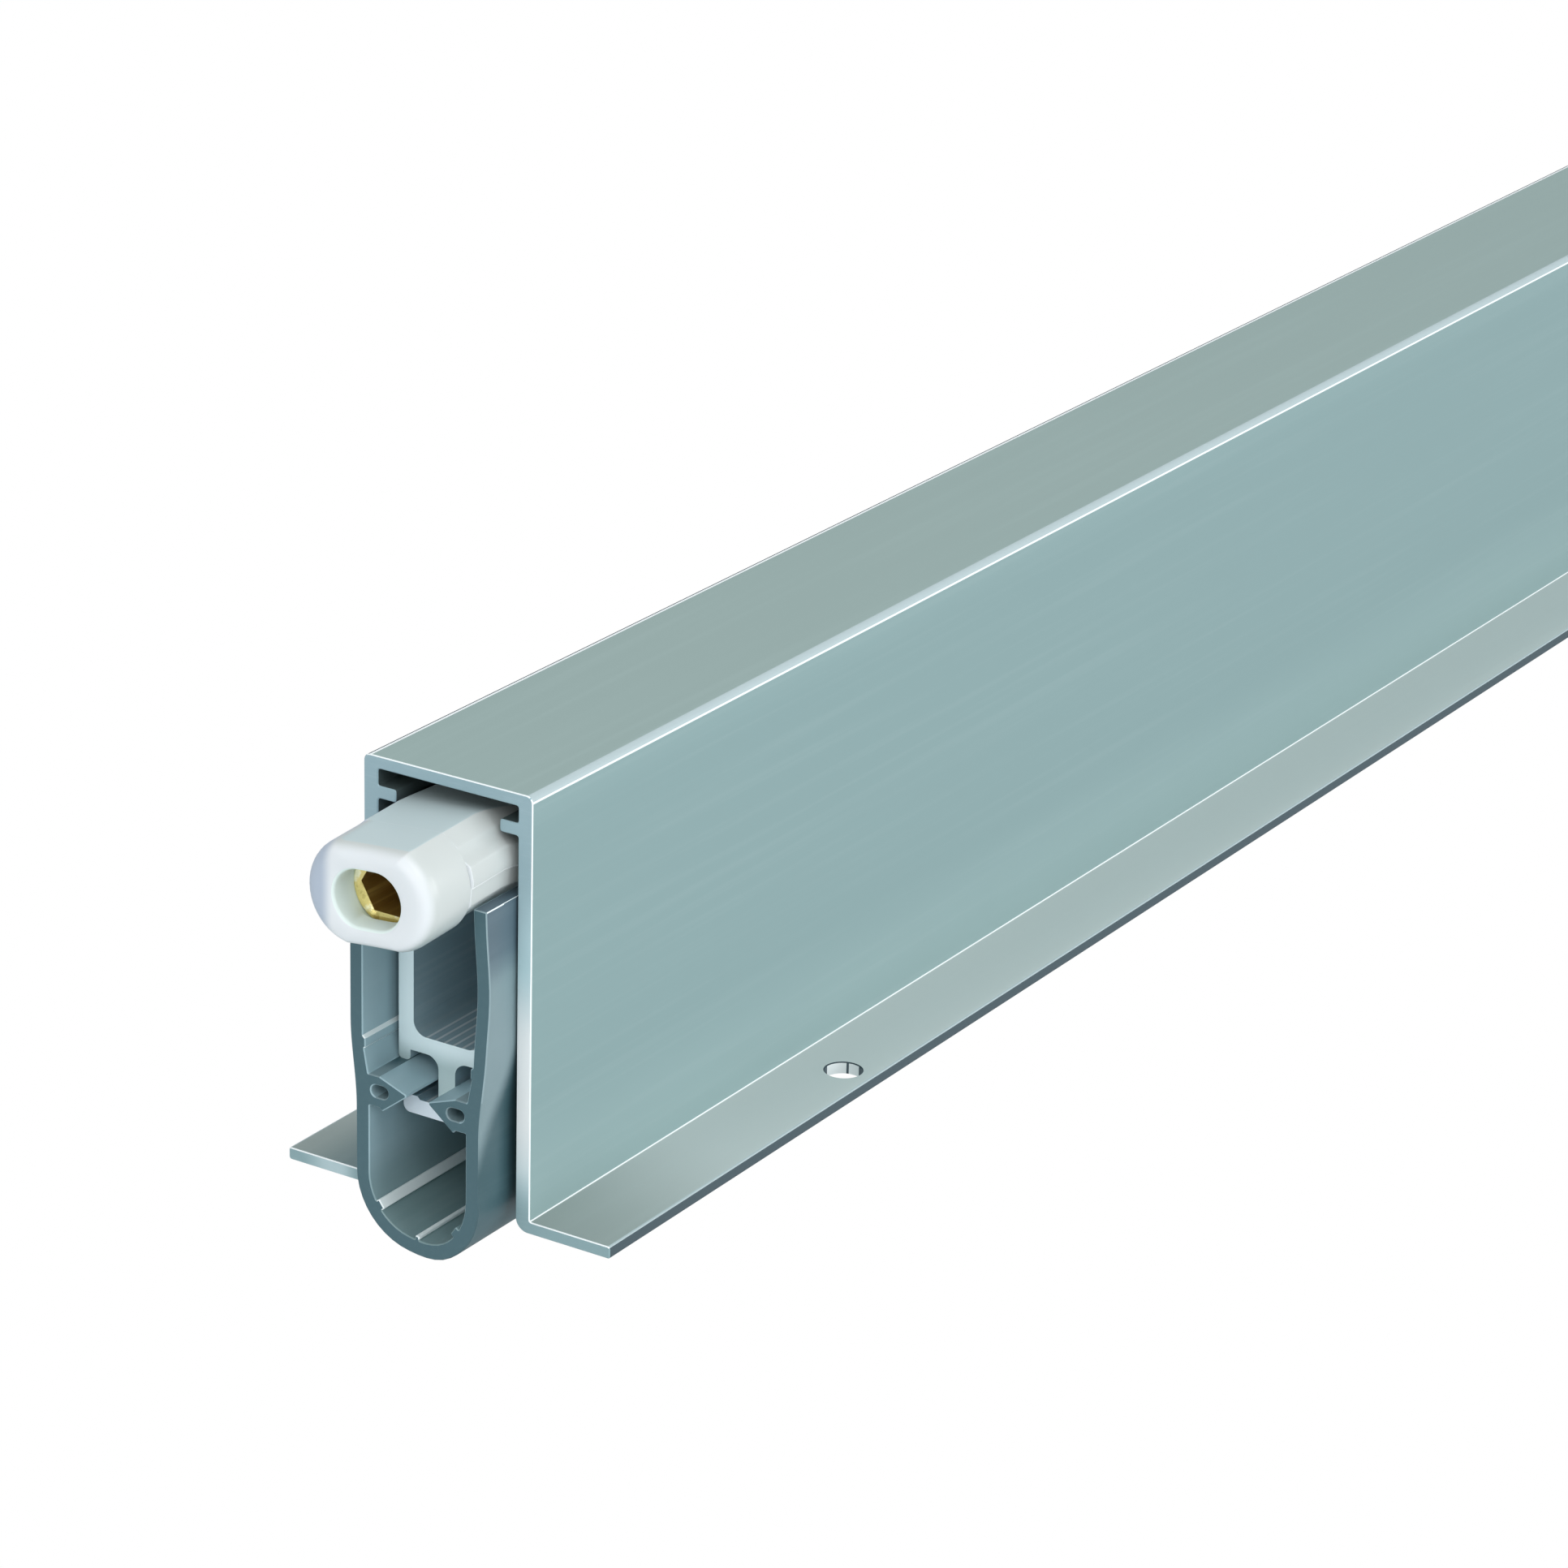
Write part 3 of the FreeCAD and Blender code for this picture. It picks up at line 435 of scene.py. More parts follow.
def anodised():
    """Satin anodised extrusion: upright faces cooler; painted light on level faces, walls and
    flange tops, painted shade on parts of the flange tops.
    """
    look = Shades("anodised aluminium", (0.245, 0.365, 0.37), 0.42, metallic=0.25)
    height, length, across = look.axis("Z"), look.axis("X"), look.axis("Y")
    level = look.ramp(look.normal_axis("Z"), 0.3, 0.9)
    # painted light: the walls paler towards their foot
    painted_light_wall_foot = look.ramp(height, 0.009, 0.001)
    look.blend(look.product(painted_light_wall_foot, 0.6), (0.34, 0.475, 0.475))
    # painted light: the walls a little paler near the roof
    painted_light_wall_top = look.ramp(height, 0.026, 0.0295)
    look.blend(painted_light_wall_top, (0.27, 0.395, 0.40))
    # painted light: level faces a little paler and warmer than upright ones
    look.blend(level, (0.335, 0.45, 0.43))

    # painted light: the flange tops paler; this mask also bounds the painted shade below
    painted_flange_top = look.product(level, look.ramp(height, 0.004, 0.002))
    painted_flange_top = look.product(painted_flange_top, look.ramp(height, -0.0006, -0.0002))
    look.blend(painted_flange_top, (0.545, 0.615, 0.605))
    # painted shade on the flange tops towards the front end
    front = look.product(painted_flange_top, look.ramp(length, -0.150, -0.168))
    look.blend(front, (0.32, 0.385, 0.37))
    # painted shade on the far flange's top next to the wall
    far = look.product(painted_flange_top, look.ramp(across, 0.006, 0.0065))
    painted_shade_far_root = look.product(far, look.ramp(across, 0.0125, 0.0075))
    look.blend(painted_shade_far_root, (0.17, 0.25, 0.26))

    streaks = look.noise((25, 1400, 1400))
    look.blend(look.product(look.ramp(streaks, 0.45, 0.75), 0.06), (0.55, 0.66, 0.66))
    look.vary("Roughness", streaks, 0.36, 0.5)
    look.relief(streaks, 0.02, 0.0001)
    return look.material


def cut_aluminium():
    """Sawn end of the housing with painted light and shade: paler down from the roof, a painted
    highlight band that fades along the legs, painted shade at their foot, painted light on the far
    flange.
    """
    look = Shades("sawn aluminium", (0.325, 0.465, 0.515), 0.42, metallic=0.1)
    height, across = look.axis("Z"), look.axis("Y")
    # painted light: the end face paler down from the roof
    painted_light_below_roof = look.ramp(height, 0.025, 0.019)
    look.blend(painted_light_below_roof, (0.56, 0.76, 0.80))
    # painted highlight: a pale band across the legs' end, fading above and below
    painted_highlight_band = look.product(look.ramp(height, 0.018, 0.012), look.ramp(height, -0.0002, 0.0075))
    look.blend(painted_highlight_band, (0.97, 0.99, 0.99))
    # painted shade at the foot of the legs' end
    painted_shade_leg_foot = look.ramp(height, 0.004, -0.0002)
    look.blend(painted_shade_leg_foot, (0.265, 0.40, 0.425))
    # painted light on the far flange's end
    painted_light_far_flange = look.product(look.ramp(across, 0.0118, 0.0092), look.ramp(across, 0.007, 0.0085))
    look.blend(painted_light_far_flange, (0.48, 0.62, 0.65))
    saw = look.noise((300, 500, 5000))
    look.blend(look.product(look.ramp(saw, 0.5, 0.8), 0.06), (0.85, 0.92, 0.95))
    look.relief(saw, 0.04, 0.0001)
    return look.material


def plain_finish(name, color, roughness, metallic):
    return Shades(name, color, roughness, metallic).material


def carrier_aluminium():
    """Mill finished extrusion, drawn lines along it, grooved level faces with painted highlights,
    pale where it is cut across, with painted shade on the stem's cut end and painted light on the
    foot's.
    """
    look = Shades("carrier aluminium", (0.40, 0.54, 0.60), 0.34, metallic=0.3)
    lines = look.noise((18, 2600, 2600), detail=6.0)
    look.blend(look.product(look.ramp(lines, 0.42, 0.68), 0.25), (0.60, 0.70, 0.73))
    wave = look.math("SINE", look.product(look.axis("Y"), 9000.0))
    level = look.ramp(look.normal_axis("Z"), 0.8, 0.95)
    # painted highlights on the grooved level faces; the same mask raises the grooved relief
    grooves_and_highlights = look.product(look.ramp(wave, 0.35, 0.95), level)
    look.blend(look.product(grooves_and_highlights, 0.75), (0.95, 0.98, 0.98))
    end = look.ramp(look.normal_axis("X"), 0.8, 0.95)
    look.blend(end, (0.74, 0.88, 0.91))
    # painted shade on the stem's cut end
    painted_shade_stem_end = look.product(end, look.ramp(look.axis("Z"), 0.0105, 0.0088))
    look.blend(painted_shade_stem_end, (0.43, 0.56, 0.57))
    # painted light on the foot's cut end
    foot = look.product(end, look.ramp(look.axis("Z"), 0.0070, 0.0066))
    look.blend(foot, (0.78, 0.86, 0.93))
    look.vary("Metallic", end, 0.3, 0.0)
    look.relief(look.math("ADD", lines, look.product(grooves_and_highlights, -1.2)), 0.2, 0.0001)
    return look.material


def soft_silicone():
    """Outside of the seal, pale between the waist and the top, with painted shade at the top and
    below a line that climbs as it runs into the housing.
    """
    look = Shades("silicone", (0.20, 0.285, 0.31), 0.38)
    height = look.axis("Z")
    # painted shade at the top of the seal, inside the housing
    top = look.ramp(height, 0.0165, 0.0195)
    look.blend(top, (0.085, 0.135, 0.17))
    housing_low, housing_high = extent("housing")
    # painted shade below a line that climbs as it runs into the housing
    behind_front = look.math("SUBTRACT", look.axis("X"), housing_low.x * MM)
    over_slope = look.math("SUBTRACT", height, look.product(behind_front, 1.9))
    painted_shade_below_slope = look.ramp(over_slope, 0.0128, 0.0095)
    look.blend(painted_shade_below_slope, (0.045, 0.100, 0.118))
    drawn = look.noise((60, 900, 900))
    look.blend(look.product(look.ramp(drawn, 0.4, 0.8), 0.08), (0.36, 0.46, 0.49))
    look.vary("Roughness", drawn, 0.3, 0.46)
    look.relief(drawn, 0.04, 0.0001)
    return look.material


def inner_silicone():
    """Inside of the seal, a paler copy of the silicone as painted light, with painted shade at the
    bottom of the bulb.
    """
    look = Shades("silicone inside", (0.34, 0.49, 0.54), 0.4)
    # painted shade at the bottom of the bulb
    bottom = look.ramp(look.axis("Z"), 0.004, -0.0015)
    look.blend(bottom, (0.19, 0.29, 0.30))
    drawn = look.noise((60, 900, 900))
    look.blend(look.product(look.ramp(drawn, 0.4, 0.8), 0.10), (0.55, 0.65, 0.68))
    return look.material


def cut_silicone():
    """Cut end of the seal, dark and speckled."""
    look = Shades("silicone cut end", (0.060, 0.130, 0.155), 0.6)
    speckle = look.noise((900, 2500, 2500))
    look.blend(look.product(look.ramp(speckle, 0.4, 0.8), 0.10), (0.12, 0.20, 0.22))
    return look.material


def moulded_white():
    """Moulded plastic: brightest in front from painted light, greyer down its side and on its flat
    top from painted shade, and bluish painted shade at its far edge.
    """
    look = Shades("white plastic", (0.58, 0.62, 0.61), 0.32)
    axis_z = adjuster_axis() * MM
    height, across = look.axis("Z"), look.axis("Y")
    cloud = look.noise((120, 160, 160), detail=2.0)
    look.blend(look.product(look.ramp(cloud, 0.4, 0.7), 0.3), (0.62, 0.65, 0.64))
    # painted shade down the lower side
    painted_shade_side_foot = look.ramp(height, axis_z - 0.0004, axis_z - 0.0032)
    look.blend(painted_shade_side_foot, (0.36, 0.43, 0.43))
    # painted light on faces turned to the front
    front = look.ramp(look.normal_axis("X"), 0.3, 0.9)
    look.blend(front, (0.81, 0.845, 0.87))
    # bluish painted shade along the far edge
    painted_shade_far_edge = look.ramp(across, 0.0028, 0.0038)
    look.blend(painted_shade_far_edge, (0.47, 0.54, 0.64))
    # painted shade on the flat top
    painted_shade_flat_top = look.ramp(look.normal_axis("Z"), 0.955, 0.985)
    look.blend(painted_shade_flat_top, (0.53, 0.635, 0.65))
    look.shader.inputs["Subsurface Weight"].default_value = 0.15
    look.shader.inputs["Subsurface Scale"].default_value = 0.001
    look.shader.inputs["Subsurface Radius"].default_value = (1.0, 0.9, 0.85)
    look.vary("Roughness", cloud, 0.28, 0.38)
    return look.material


def brass_rim():
    """Turned brass with bright and dark specks of wear."""
    look = Shades("brass rim", (0.80, 0.66, 0.25), 0.2, metallic=0.8)
    wear = look.noise((900, 700, 700))
    bright, dark = look.ramp(wear, 0.5, 0.6), look.ramp(wear, 0.42, 0.34)
    look.blend(look.product(bright, 0.8), (1.0, 0.97, 0.72))
    look.blend(look.product(dark, 0.7), (0.36, 0.25, 0.05))
    look.relief(wear, 0.3, 0.0002)
    return look.material


def brass_socket():
    """The deep hexagon of the adjuster, brass darkened as painted shade, with drawn lines along
    its flats.
    """
    look = Shades("brass socket, painted shade", (0.30, 0.17, 0.035), 0.3, metallic=0.35)
    wear = look.noise((60, 1500, 1500))
    look.blend(look.product(look.ramp(wear, 0.5, 0.62), 0.6), (0.62, 0.42, 0.12))
    return look.material


aluminium = anodised()
cut_face = cut_aluminium()
# painted highlight on broken edges
aluminium_painted_highlight = plain_finish("aluminium, painted highlight", (0.90, 0.95, 0.96), 0.3, 0.0)
# painted light on the near roof corner and the flanges' outer top edges
aluminium_painted_light = plain_finish("aluminium, painted light", (0.46, 0.56, 0.58), 0.4, 0.1)
# painted shade on the far roof corner, the flanges' outer sides, round the screw holes and in
# streaks on their walls
aluminium_painted_shade = plain_finish("aluminium, painted shade", (0.042, 0.072, 0.088), 0.5, 0.0)
hole_wall = plain_finish("aluminium hole wall", (0.72, 0.78, 0.78), 0.4, 0.0)
# painted shade inside the channel
aluminium_inside_painted_shade = plain_finish("aluminium inside, painted shade", (0.075, 0.105, 0.105), 0.5, 0.1)
carrier_metal = carrier_aluminium()
silicone = soft_silicone()
silicone_end = cut_silicone()
silicone_inside_light_and_shade = inner_silicone()
# painted highlight on the near leg's edges
silicone_edge_painted_highlight = plain_finish("silicone edge, painted highlight", (0.27, 0.37, 0.40), 0.35, 0.0)
# painted highlight on ridges, a step and the near leg's top inside the seal
silicone_ridge_painted_highlight = plain_finish("silicone ridge, painted highlight", (0.85, 0.93, 0.93), 0.35, 0.0)
white_plastic = moulded_white()
# a paler copy of the white plastic as painted light inside the mouth
mouth_painted_light = plain_finish("white mouth, painted light", (0.84, 0.95, 0.92), 0.4, 0.0)
# painted highlight on the guide's seam
seam_painted_highlight = plain_finish("white seam, painted highlight", (0.95, 0.98, 0.98), 0.3, 0.0)
brass = brass_rim()
brass_painted_shade = brass_socket()
block_plastic = plain_finish("block plastic", (0.05, 0.055, 0.06), 0.55, 0.0)
steel = plain_finish("zinc plated steel", (0.55, 0.56, 0.58), 0.32, 1.0)
coupler_steel = plain_finish("turned steel", (0.48, 0.49, 0.51), 0.28, 1.0)

finishes = {
    "anodised_aluminium": aluminium,
    "silicone": silicone,
    "white_plastic": white_plastic,
    "brass": brass,
    "block_plastic": block_plastic,
    "steel": steel,
    "coupler_steel": coupler_steel,
}
for entry in frame["record"]["subparts"]:
    mesh = nodes[entry["node"]].data
    mesh.materials.clear()
    mesh.materials.append(finishes[entry["material_slot"]])
nodes["seal_carrier"].data.materials[0] = carrier_metal


# The housing, with its edges broken and its sawn end

FLANGE_WIDTH = 6.2
HOUSING_EDGE, HOUSING_CORNER = 0.07, 0.18
ROOF_CORNER = 0.8            # the roof's corners are cut finer within this distance
LINE = 0.12                  # width of the thin painted highlights
SKIN = 0.01                  # what lies this close under the roof's top is part of it
LINING_WALL, LINING_ROOF = 0.6, 0.4  # faces further in from the wall and the roof are inside, in painted shade
RIM = 0.07                   # broken edge of a screw hole
DRILL_FROM, DRILL_TO = -3, 2
STREAK_WAY = Vector((0.555, -0.83))
STREAK_FROM, STREAK_TO = 0.18, 0.38  # the painted dark streak of reflection on a hole's wall, in shares of the radius
SIDES_FROM = 0.86                    # both sides of the wall are in painted shade from here on
# besides the satin, sawn and hole-wall faces: painted highlight, painted light, painted shade, and
# painted shade inside the channel
SATIN, SAWN, PAINTED_HIGHLIGHT, PAINTED_LIGHT, PAINTED_SHADE, INSIDE_SHADE, HOLE = range(7)


def channel_half(high):
    """Half the width over the housing's upright walls."""
    return high.y - FLANGE_WIDTH


def lined_corners(loop, high):
    """Cut the outline finer at the roof's corners, so that thin painted highlights can run there.
    """
    result = []
    for i, point in enumerate(loop):
        following = loop[(i + 1) % len(loop)]
        middle = (point + following) / 2
        top = middle.y > high.z - ROOF_CORNER and point.y > high.z - ROOF_CORNER
        if top and abs(middle.x) > channel_half(high) - ROOF_CORNER:
            result += cut_side(point, following, LINE)
        elif min(point.y, following.y) > high.z - SKIN:
            way = (following - point).normalized() * LINE
            result += [point, point + way, following - way]
        else:
            result.append(point)
    return result


def screw_holes():
    """The middles of the screw holes in X and Y, and their radius, from the mounts."""
    middles = []
    for pattern in frame["record"]["mounts"]:
        if pattern["kind"] != "bolt_pattern":
            continue
        sizes = pattern["dims"]
        half_x = sizes.get("spacing_x_mm", 0) / 2
        half_y = sizes["spacing_y_mm"] / 2
        middles += [Vector((x, y)) for x in sorted({-half_x, half_x}) for y in (-half_y, half_y)]
        radius = sizes["hole_r_mm"]
    return middles, radius


def make_housing():
    low, high = extent("housing")
    wall = channel_half(high)
    loops = [lined_corners(loop, high) for loop in end_loops("housing")]
    materials = (aluminium, cut_face, aluminium_painted_highlight, aluminium_painted_light, aluminium_painted_shade, aluminium_inside_painted_shade, hole_wall)
    housing = extruded("housing_shell", loops, (low.x, high.x), materials,
                       edge=HOUSING_EDGE, corner=HOUSING_CORNER)
    holes, radius = screw_holes()
    tools = []
    for x, y in holes:
        tools.append(cylinder("drill", (x, y, DRILL_FROM), (x, y, DRILL_TO), radius,
                              (aluminium,)))
        tools.append(cylinder("rim", (x, y, -RIM), (x, y, DRILL_TO), radius + RIM,
                              (aluminium,)))
    cut_away(housing, tools)

    def hole_slot(normal, middle):
        """A pale wall with painted dark streaks of reflection in a screw hole, and a dark rim of
        painted shade round it.
        """
        close = 0.001
        away = min((Vector((middle.x, middle.y)) - hole for hole in holes),
                   key=lambda offset: offset.length)
        inside = low.z + close < middle.z < -close
        if away.length > radius + RIM + 0.02 or not inside:
            return None
        if middle.z > -RIM - close or abs(normal.z) > 0.5:
            return PAINTED_SHADE
        across = STREAK_WAY.dot(away) / radius
        dark = abs(across) > SIDES_FROM or STREAK_FROM < across < STREAK_TO
        return PAINTED_SHADE if dark else HOLE

    def end_slot(middle):
        """The broken edge of the sawn end, with a painted highlight along the roof, near wall and
        flanges.
        """
        roof = middle.z > high.z - LINE
        near_wall = -wall - 0.1 < middle.y < -wall + 0.15 and middle.z > 0
        flange = abs(middle.y) > wall and -LINE < middle.z < 0.2
        return PAINTED_HIGHLIGHT if roof or near_wall or flange else SAWN

    def long_slot(rise, middle):
        """Faces that run along the housing, by how level they are and where they lie: painted
        shade inside the channel and on the far roof corner, painted highlight and painted light on
        the near roof corner, painted highlights along the far roof edge and where the walls meet
        the flanges.
        """
        if abs(middle.y) < wall - LINING_WALL and middle.z < high.z - LINING_ROOF:
            return INSIDE_SHADE
        if middle.z > high.z - ROOF_CORNER and UPRIGHT < rise < LEVEL:
            if middle.y > 0:
                return PAINTED_SHADE
            return PAINTED_HIGHLIGHT if rise < 0.25 and middle.y < 0.03 - wall else PAINTED_LIGHT
        far_line = rise >= LEVEL and middle.z > high.z - SKIN and middle.y > wall - 1.5
        root = 0.2 < rise < 0.97 and 0 < middle.z < 0.3 and abs(middle.y) > wall - 0.1
        return PAINTED_HIGHLIGHT if far_line or root else SATIN

    def choose(normal, middle):
        slot = hole_slot(normal, middle)
        if slot is not None:
            return slot
        if abs(normal.x) > SQUARE:
            return SAWN
        if abs(normal.x) > SLANTED:
            return end_slot(middle)
        if abs(middle.y) > high.y - HOUSING_CORNER:
            # the flanges' outer edges: painted light on top, painted shade on the side
            return PAINTED_LIGHT if normal.z > 0.6 else PAINTED_SHADE
        return long_slot(abs(normal.z), middle)

    paint_faces(housing, choose)
    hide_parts("housing")
    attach(housing, "housing")


# The seal, whose free ends splay a little where they leave the housing

BULB_RADIUS, BULB_WALL = 4.82, 1.05
SEAL_EDGE, SEAL_CORNER = 0.07, 0.09
WAIST, SHOULDER, WAIST_DEPTH = 6.4, 12.4, 0.46  # between them the legs draw in to the bulb
LEAN, LEAN_HEIGHT, LEAN_SPREAD = 0.34, 16.5, 3.6
SAG = 0.3
RIDGE_TOP, BULB_TOP = 1.5, 3.5   # how far ridges and bulb reach up from the bulb's middle
RIDGE_NEAR = -1.5                # Y from which the ridges get a painted highlight
STEP_Y, STEP_Z = (3.0, 4.4), (10.3, 11.6)  # where a step inside the far leg gets a painted highlight
# RIDGE and EDGE are painted highlights; INNER is the paler copy of the silicone as painted light
OUTSIDE, CUT, INNER, RIDGE, EDGE = range(5)


def make_seal():
    low, high = extent("silicone_seal")
    housing_low, housing_high = extent("housing")
    narrow = high.y - WAIST_DEPTH

    def splay(x):
        """Zero inside the housing, one at the seal's ends."""
        return max(smooth_step(x, housing_low.x - 0.3, low.x),
                   smooth_step(x, housing_high.x + 0.3, high.x))

    def shape(x, point):
        """Lean the free end of the near leg outwards, and let the bulb sag below it."""
        height = math.exp(-((point.y - LEAN_HEIGHT) / LEAN_SPREAD) ** 2)
        lean = -LEAN * splay(x) * height if point.x < 0 else 0.0
        sag = SAG * smooth_step(-point.x, -0.8, 2.5) * smooth_step(-point.y, -2.5, 0.5)
        return Vector((point.x + lean, point.y - sag))

    outer, *inner = oriented(end_loops("silicone_seal"))
    outer = divided(outer, 0.8)
    for point in outer:
        if abs(point.x) > narrow - 0.12 and WAIST < point.y < SHOULDER:
            side = math.copysign(1, point.x)
            reach = narrow + WAIST_DEPTH * smooth_step(point.y, WAIST, SHOULDER)
            point.x = side * reach
    free = housing_low.x - low.x
    stations = [low.x, low.x + 0.3 * free, low.x + 0.6 * free, housing_low.x,
                housing_high.x, high.x - 0.6 * free, high.x - 0.3 * free, high.x]
    materials = (silicone, silicone_end, silicone_inside_light_and_shade, silicone_ridge_painted_highlight, silicone_edge_painted_highlight)
    seal = extruded("seal_extrusion", [outer] + inner, stations, materials,
                    edge=SEAL_EDGE, corner=SEAL_CORNER, shape=shape)
    bulb_middle = Vector((0.0, low.z + BULB_RADIUS))

    def choose(normal, middle):
        if abs(normal.x) > SQUARE:
            return CUT
        # painted highlight on the near leg's broken edges and along its top
        near_leg = middle.y < -4.0 and middle.z > 9.0
        if abs(normal.x) > SLANTED and near_leg and normal.y < 0.3:
            return EDGE
        near_top = middle.z > high.z - 0.12 and middle.y < 1.0 - narrow
        if near_top and 0.2 < normal.z < 0.95:
            return RIDGE if normal.y < 0 else EDGE
        out = Vector((middle.y, middle.z)) - bulb_middle
        on_ridge = out.y < RIDGE_TOP and out.length < BULB_RADIUS - BULB_WALL - 0.06
        in_step = STEP_Y[0] < middle.y < STEP_Y[1] and STEP_Z[0] < middle.z < STEP_Z[1]
        # painted highlight on the ridges and on the step inside the far leg
        if on_ridge and middle.y > RIDGE_NEAR or in_step and abs(normal.z) > 0.3:
            return RIDGE
        # the inside takes the paler copy of the silicone as painted light
        in_bulb = out.y < BULB_TOP and out.length < BULB_RADIUS - 0.4
        return INNER if in_bulb or -normal.y * middle.y > 0.2 else OUTSIDE

    paint_faces(seal, choose)
    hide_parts("silicone_seal")
    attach(seal, "drop_seal")


# The release button, which droops and leans a little in its channel

BUTTON_ROLL = math.radians(-5.0)
BUTTON_DROOP = math.tan(math.radians(2.7))
BUTTON_LIFT, BUTTON_ASIDE = 0.18, 0.15
STRAIGHT_FROM, LOOSE_FROM = -164.0, -168.0  # X where the play starts and where it is full
HEAD_END, HEAD_ROUND, HEAD_EDGE = -171.5, 1.1, 0.04
HEAD_BOTTOM, HEAD_TOP, ARC_STEPS = -3.42, 3.37, 22
GUIDE_FRONT_EDGE, GUIDE_EDGE = 0.05, 0.15
MOUTH_MIDDLE, MOUTH_DEPTH, MOUTH_EDGE = Vector((0.11, -0.03)), 1.6, 0.3
BORE_RADIUS, BORE_START = 2.72, 1.8
BUTTON_SMOOTH = math.radians(38)
MOULDED, MOUTH, SEAM = range(3)


def button_place(x, point, axis_z):
    """Where a point of the button's section comes to lie at one X."""
    free = smooth_step(x, STRAIGHT_FROM, LOOSE_FROM)
    turn = BUTTON_ROLL * free
    lift = BUTTON_LIFT * free - BUTTON_DROOP * max(LOOSE_FROM - x, 0.0)
    y = point.x * math.cos(turn) - point.y * math.sin(turn)
    z = point.x * math.sin(turn) + point.y * math.cos(turn)
    return Vector((x, y + BUTTON_ASIDE * free, z + axis_z + lift))


def arc_points(start, end, radius, count):
    """Points of the shorter arc from start to end that bulges to the right of the way."""
    middle = (start + end) / 2
    chord = end - start
    away = Vector((-chord.y, chord.x)).normalized()
    centre = middle + away * math.sqrt(radius ** 2 - chord.length_squared / 4)
    first = math.atan2(start.y - centre.y, start.x - centre.x)
    last = math.atan2(end.y - centre.y, end.x - centre.x)
    angles = [first + (last - first) * k / count for k in range(count + 1)]
    return [centre + radius * Vector((math.cos(a), math.sin(a))) for a in angles]


def two_sided(far, near):
    """A closed outline from its far side and its near side's mirror image, both listed upwards."""
    return far + [Vector((-p.x, p.y)) for p in reversed(near)]


def head_outline():
    """The head's section: two arcs of different radius between a flat top and bottom."""
    far = arc_points(Vector((2.3, HEAD_BOTTOM)), Vector((2.65, HEAD_TOP)), 3.55, ARC_STEPS)
    near = arc_points(Vector((1.95, HEAD_BOTTOM)), Vector((2.95, HEAD_TOP)), 3.65, ARC_STEPS)
    return rounded_corners(divided(two_sided(far, near), 0.6), 0.4, steps=4)


def guide_outline():
    """The guide's section, with a seam on each side and shoulders under the ledges."""
    half = [Vector(c) for c in (
        (2.0, -3.38), (3.5, -2.35), (4.7, -1.25), (4.9, -0.1), (5.02, 0.0), (5.08, 0.45),
        (4.93, 1.38), (4.3, 1.78), (4.12, 2.05), (4.0, 2.5), (3.6, 2.86), (2.95, 3.34))]
    return rounded_corners(divided(two_sided(half, half), 0.5), 0.25, steps=3)


def mouth_outline():
    """A slot with round ends."""
    half_length, radius = 0.65, 1.9
    loop = []
    for angle in full_turn(48):
        shift = half_length if math.cos(angle) >= 0 else -half_length
        loop.append(Vector((shift + radius * math.cos(angle), radius * math.sin(angle))))
    return loop


def make_button():
    low, high = extent("release_button")
    axis_z = adjuster_axis()
    head = head_outline()
    angles = [math.atan2(p.y, p.x) for p in head]
    mouth = mouth_outline()
    opening = [MOUTH_MIDDLE + reach_at(mouth, a) * Vector((math.cos(a), math.sin(a)))
               for a in angles]

    def placed(x, ring):
        return [button_place(x, p, axis_z) for p in ring]

    def drawn_in(distance):
        return [p * (1 - distance / p.length) for p in head]

    def round_bore(x, directions):
        """A ring of the bore; it keeps to the screw's own axis, level and straight."""
        return [Vector((x, BORE_RADIUS * math.cos(a), axis_z + BORE_RADIUS * math.sin(a)))
                for a in directions]

    rings = [placed(HEAD_END, drawn_in(HEAD_EDGE)), placed(HEAD_END - HEAD_EDGE / 2, head)]
    for angle in quarter_turn(8):
        x = low.x + HEAD_ROUND * (1 - math.sin(angle))
        rings.append(placed(x, drawn_in(HEAD_ROUND * (1 - math.cos(angle)))))
    for angle in quarter_turn(6)[1:]:
        x = low.x + MOUTH_EDGE * (1 - math.cos(angle))
        wider = MOUTH_EDGE * (1 - math.sin(angle))
        rings.append(placed(x, [p + (p - MOUTH_MIDDLE).normalized() * wider for p in opening]))
    rings.append(placed(low.x + MOUTH_DEPTH, opening))
    directions = [a + BUTTON_ROLL for a in angles]
    rings.append(round_bore(low.x + BORE_START, directions))
    rings.append(round_bore(HEAD_END, directions))
    bm = bmesh.new()
    shell(bm, rings)

    guide = guide_outline()
    turns = [math.atan2(p.y, p.x) for p in guide]
    xs = [HEAD_END + GUIDE_FRONT_EDGE, -169.5, LOOSE_FROM, -167.0, -166.0, -165.0,
          STRAIGHT_FROM, high.x - GUIDE_EDGE]
    rings = [placed(HEAD_END, inset(guide, GUIDE_FRONT_EDGE))] + [placed(x, guide) for x in xs]
    rings.append(placed(high.x, inset(guide, GUIDE_EDGE)))
    rings.append(round_bore(high.x, turns))
    rings.append(round_bore(HEAD_END, turns))
    shell(bm, rings)
    button = finish_mesh(bm, "button_moulding", (white_plastic, mouth_painted_light, seam_painted_highlight),
                         BUTTON_SMOOTH)

    def choose(normal, middle):
        # the mouth's inner faces take painted light, the seam's faces a painted highlight
        out = Vector((middle.y, middle.z - axis_z))
        if out.dot(Vector((normal.y, normal.z))) < -0.5 * out.length:
            return MOUTH
        seam = abs(out.x) > 4.7 and normal.z < -0.4 and out.y > -0.7
        return SEAM if seam else MOULDED

    paint_faces(button, choose)
    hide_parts("release_button")
    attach(button, "button")


# The adjuster, whose lengths start at its front

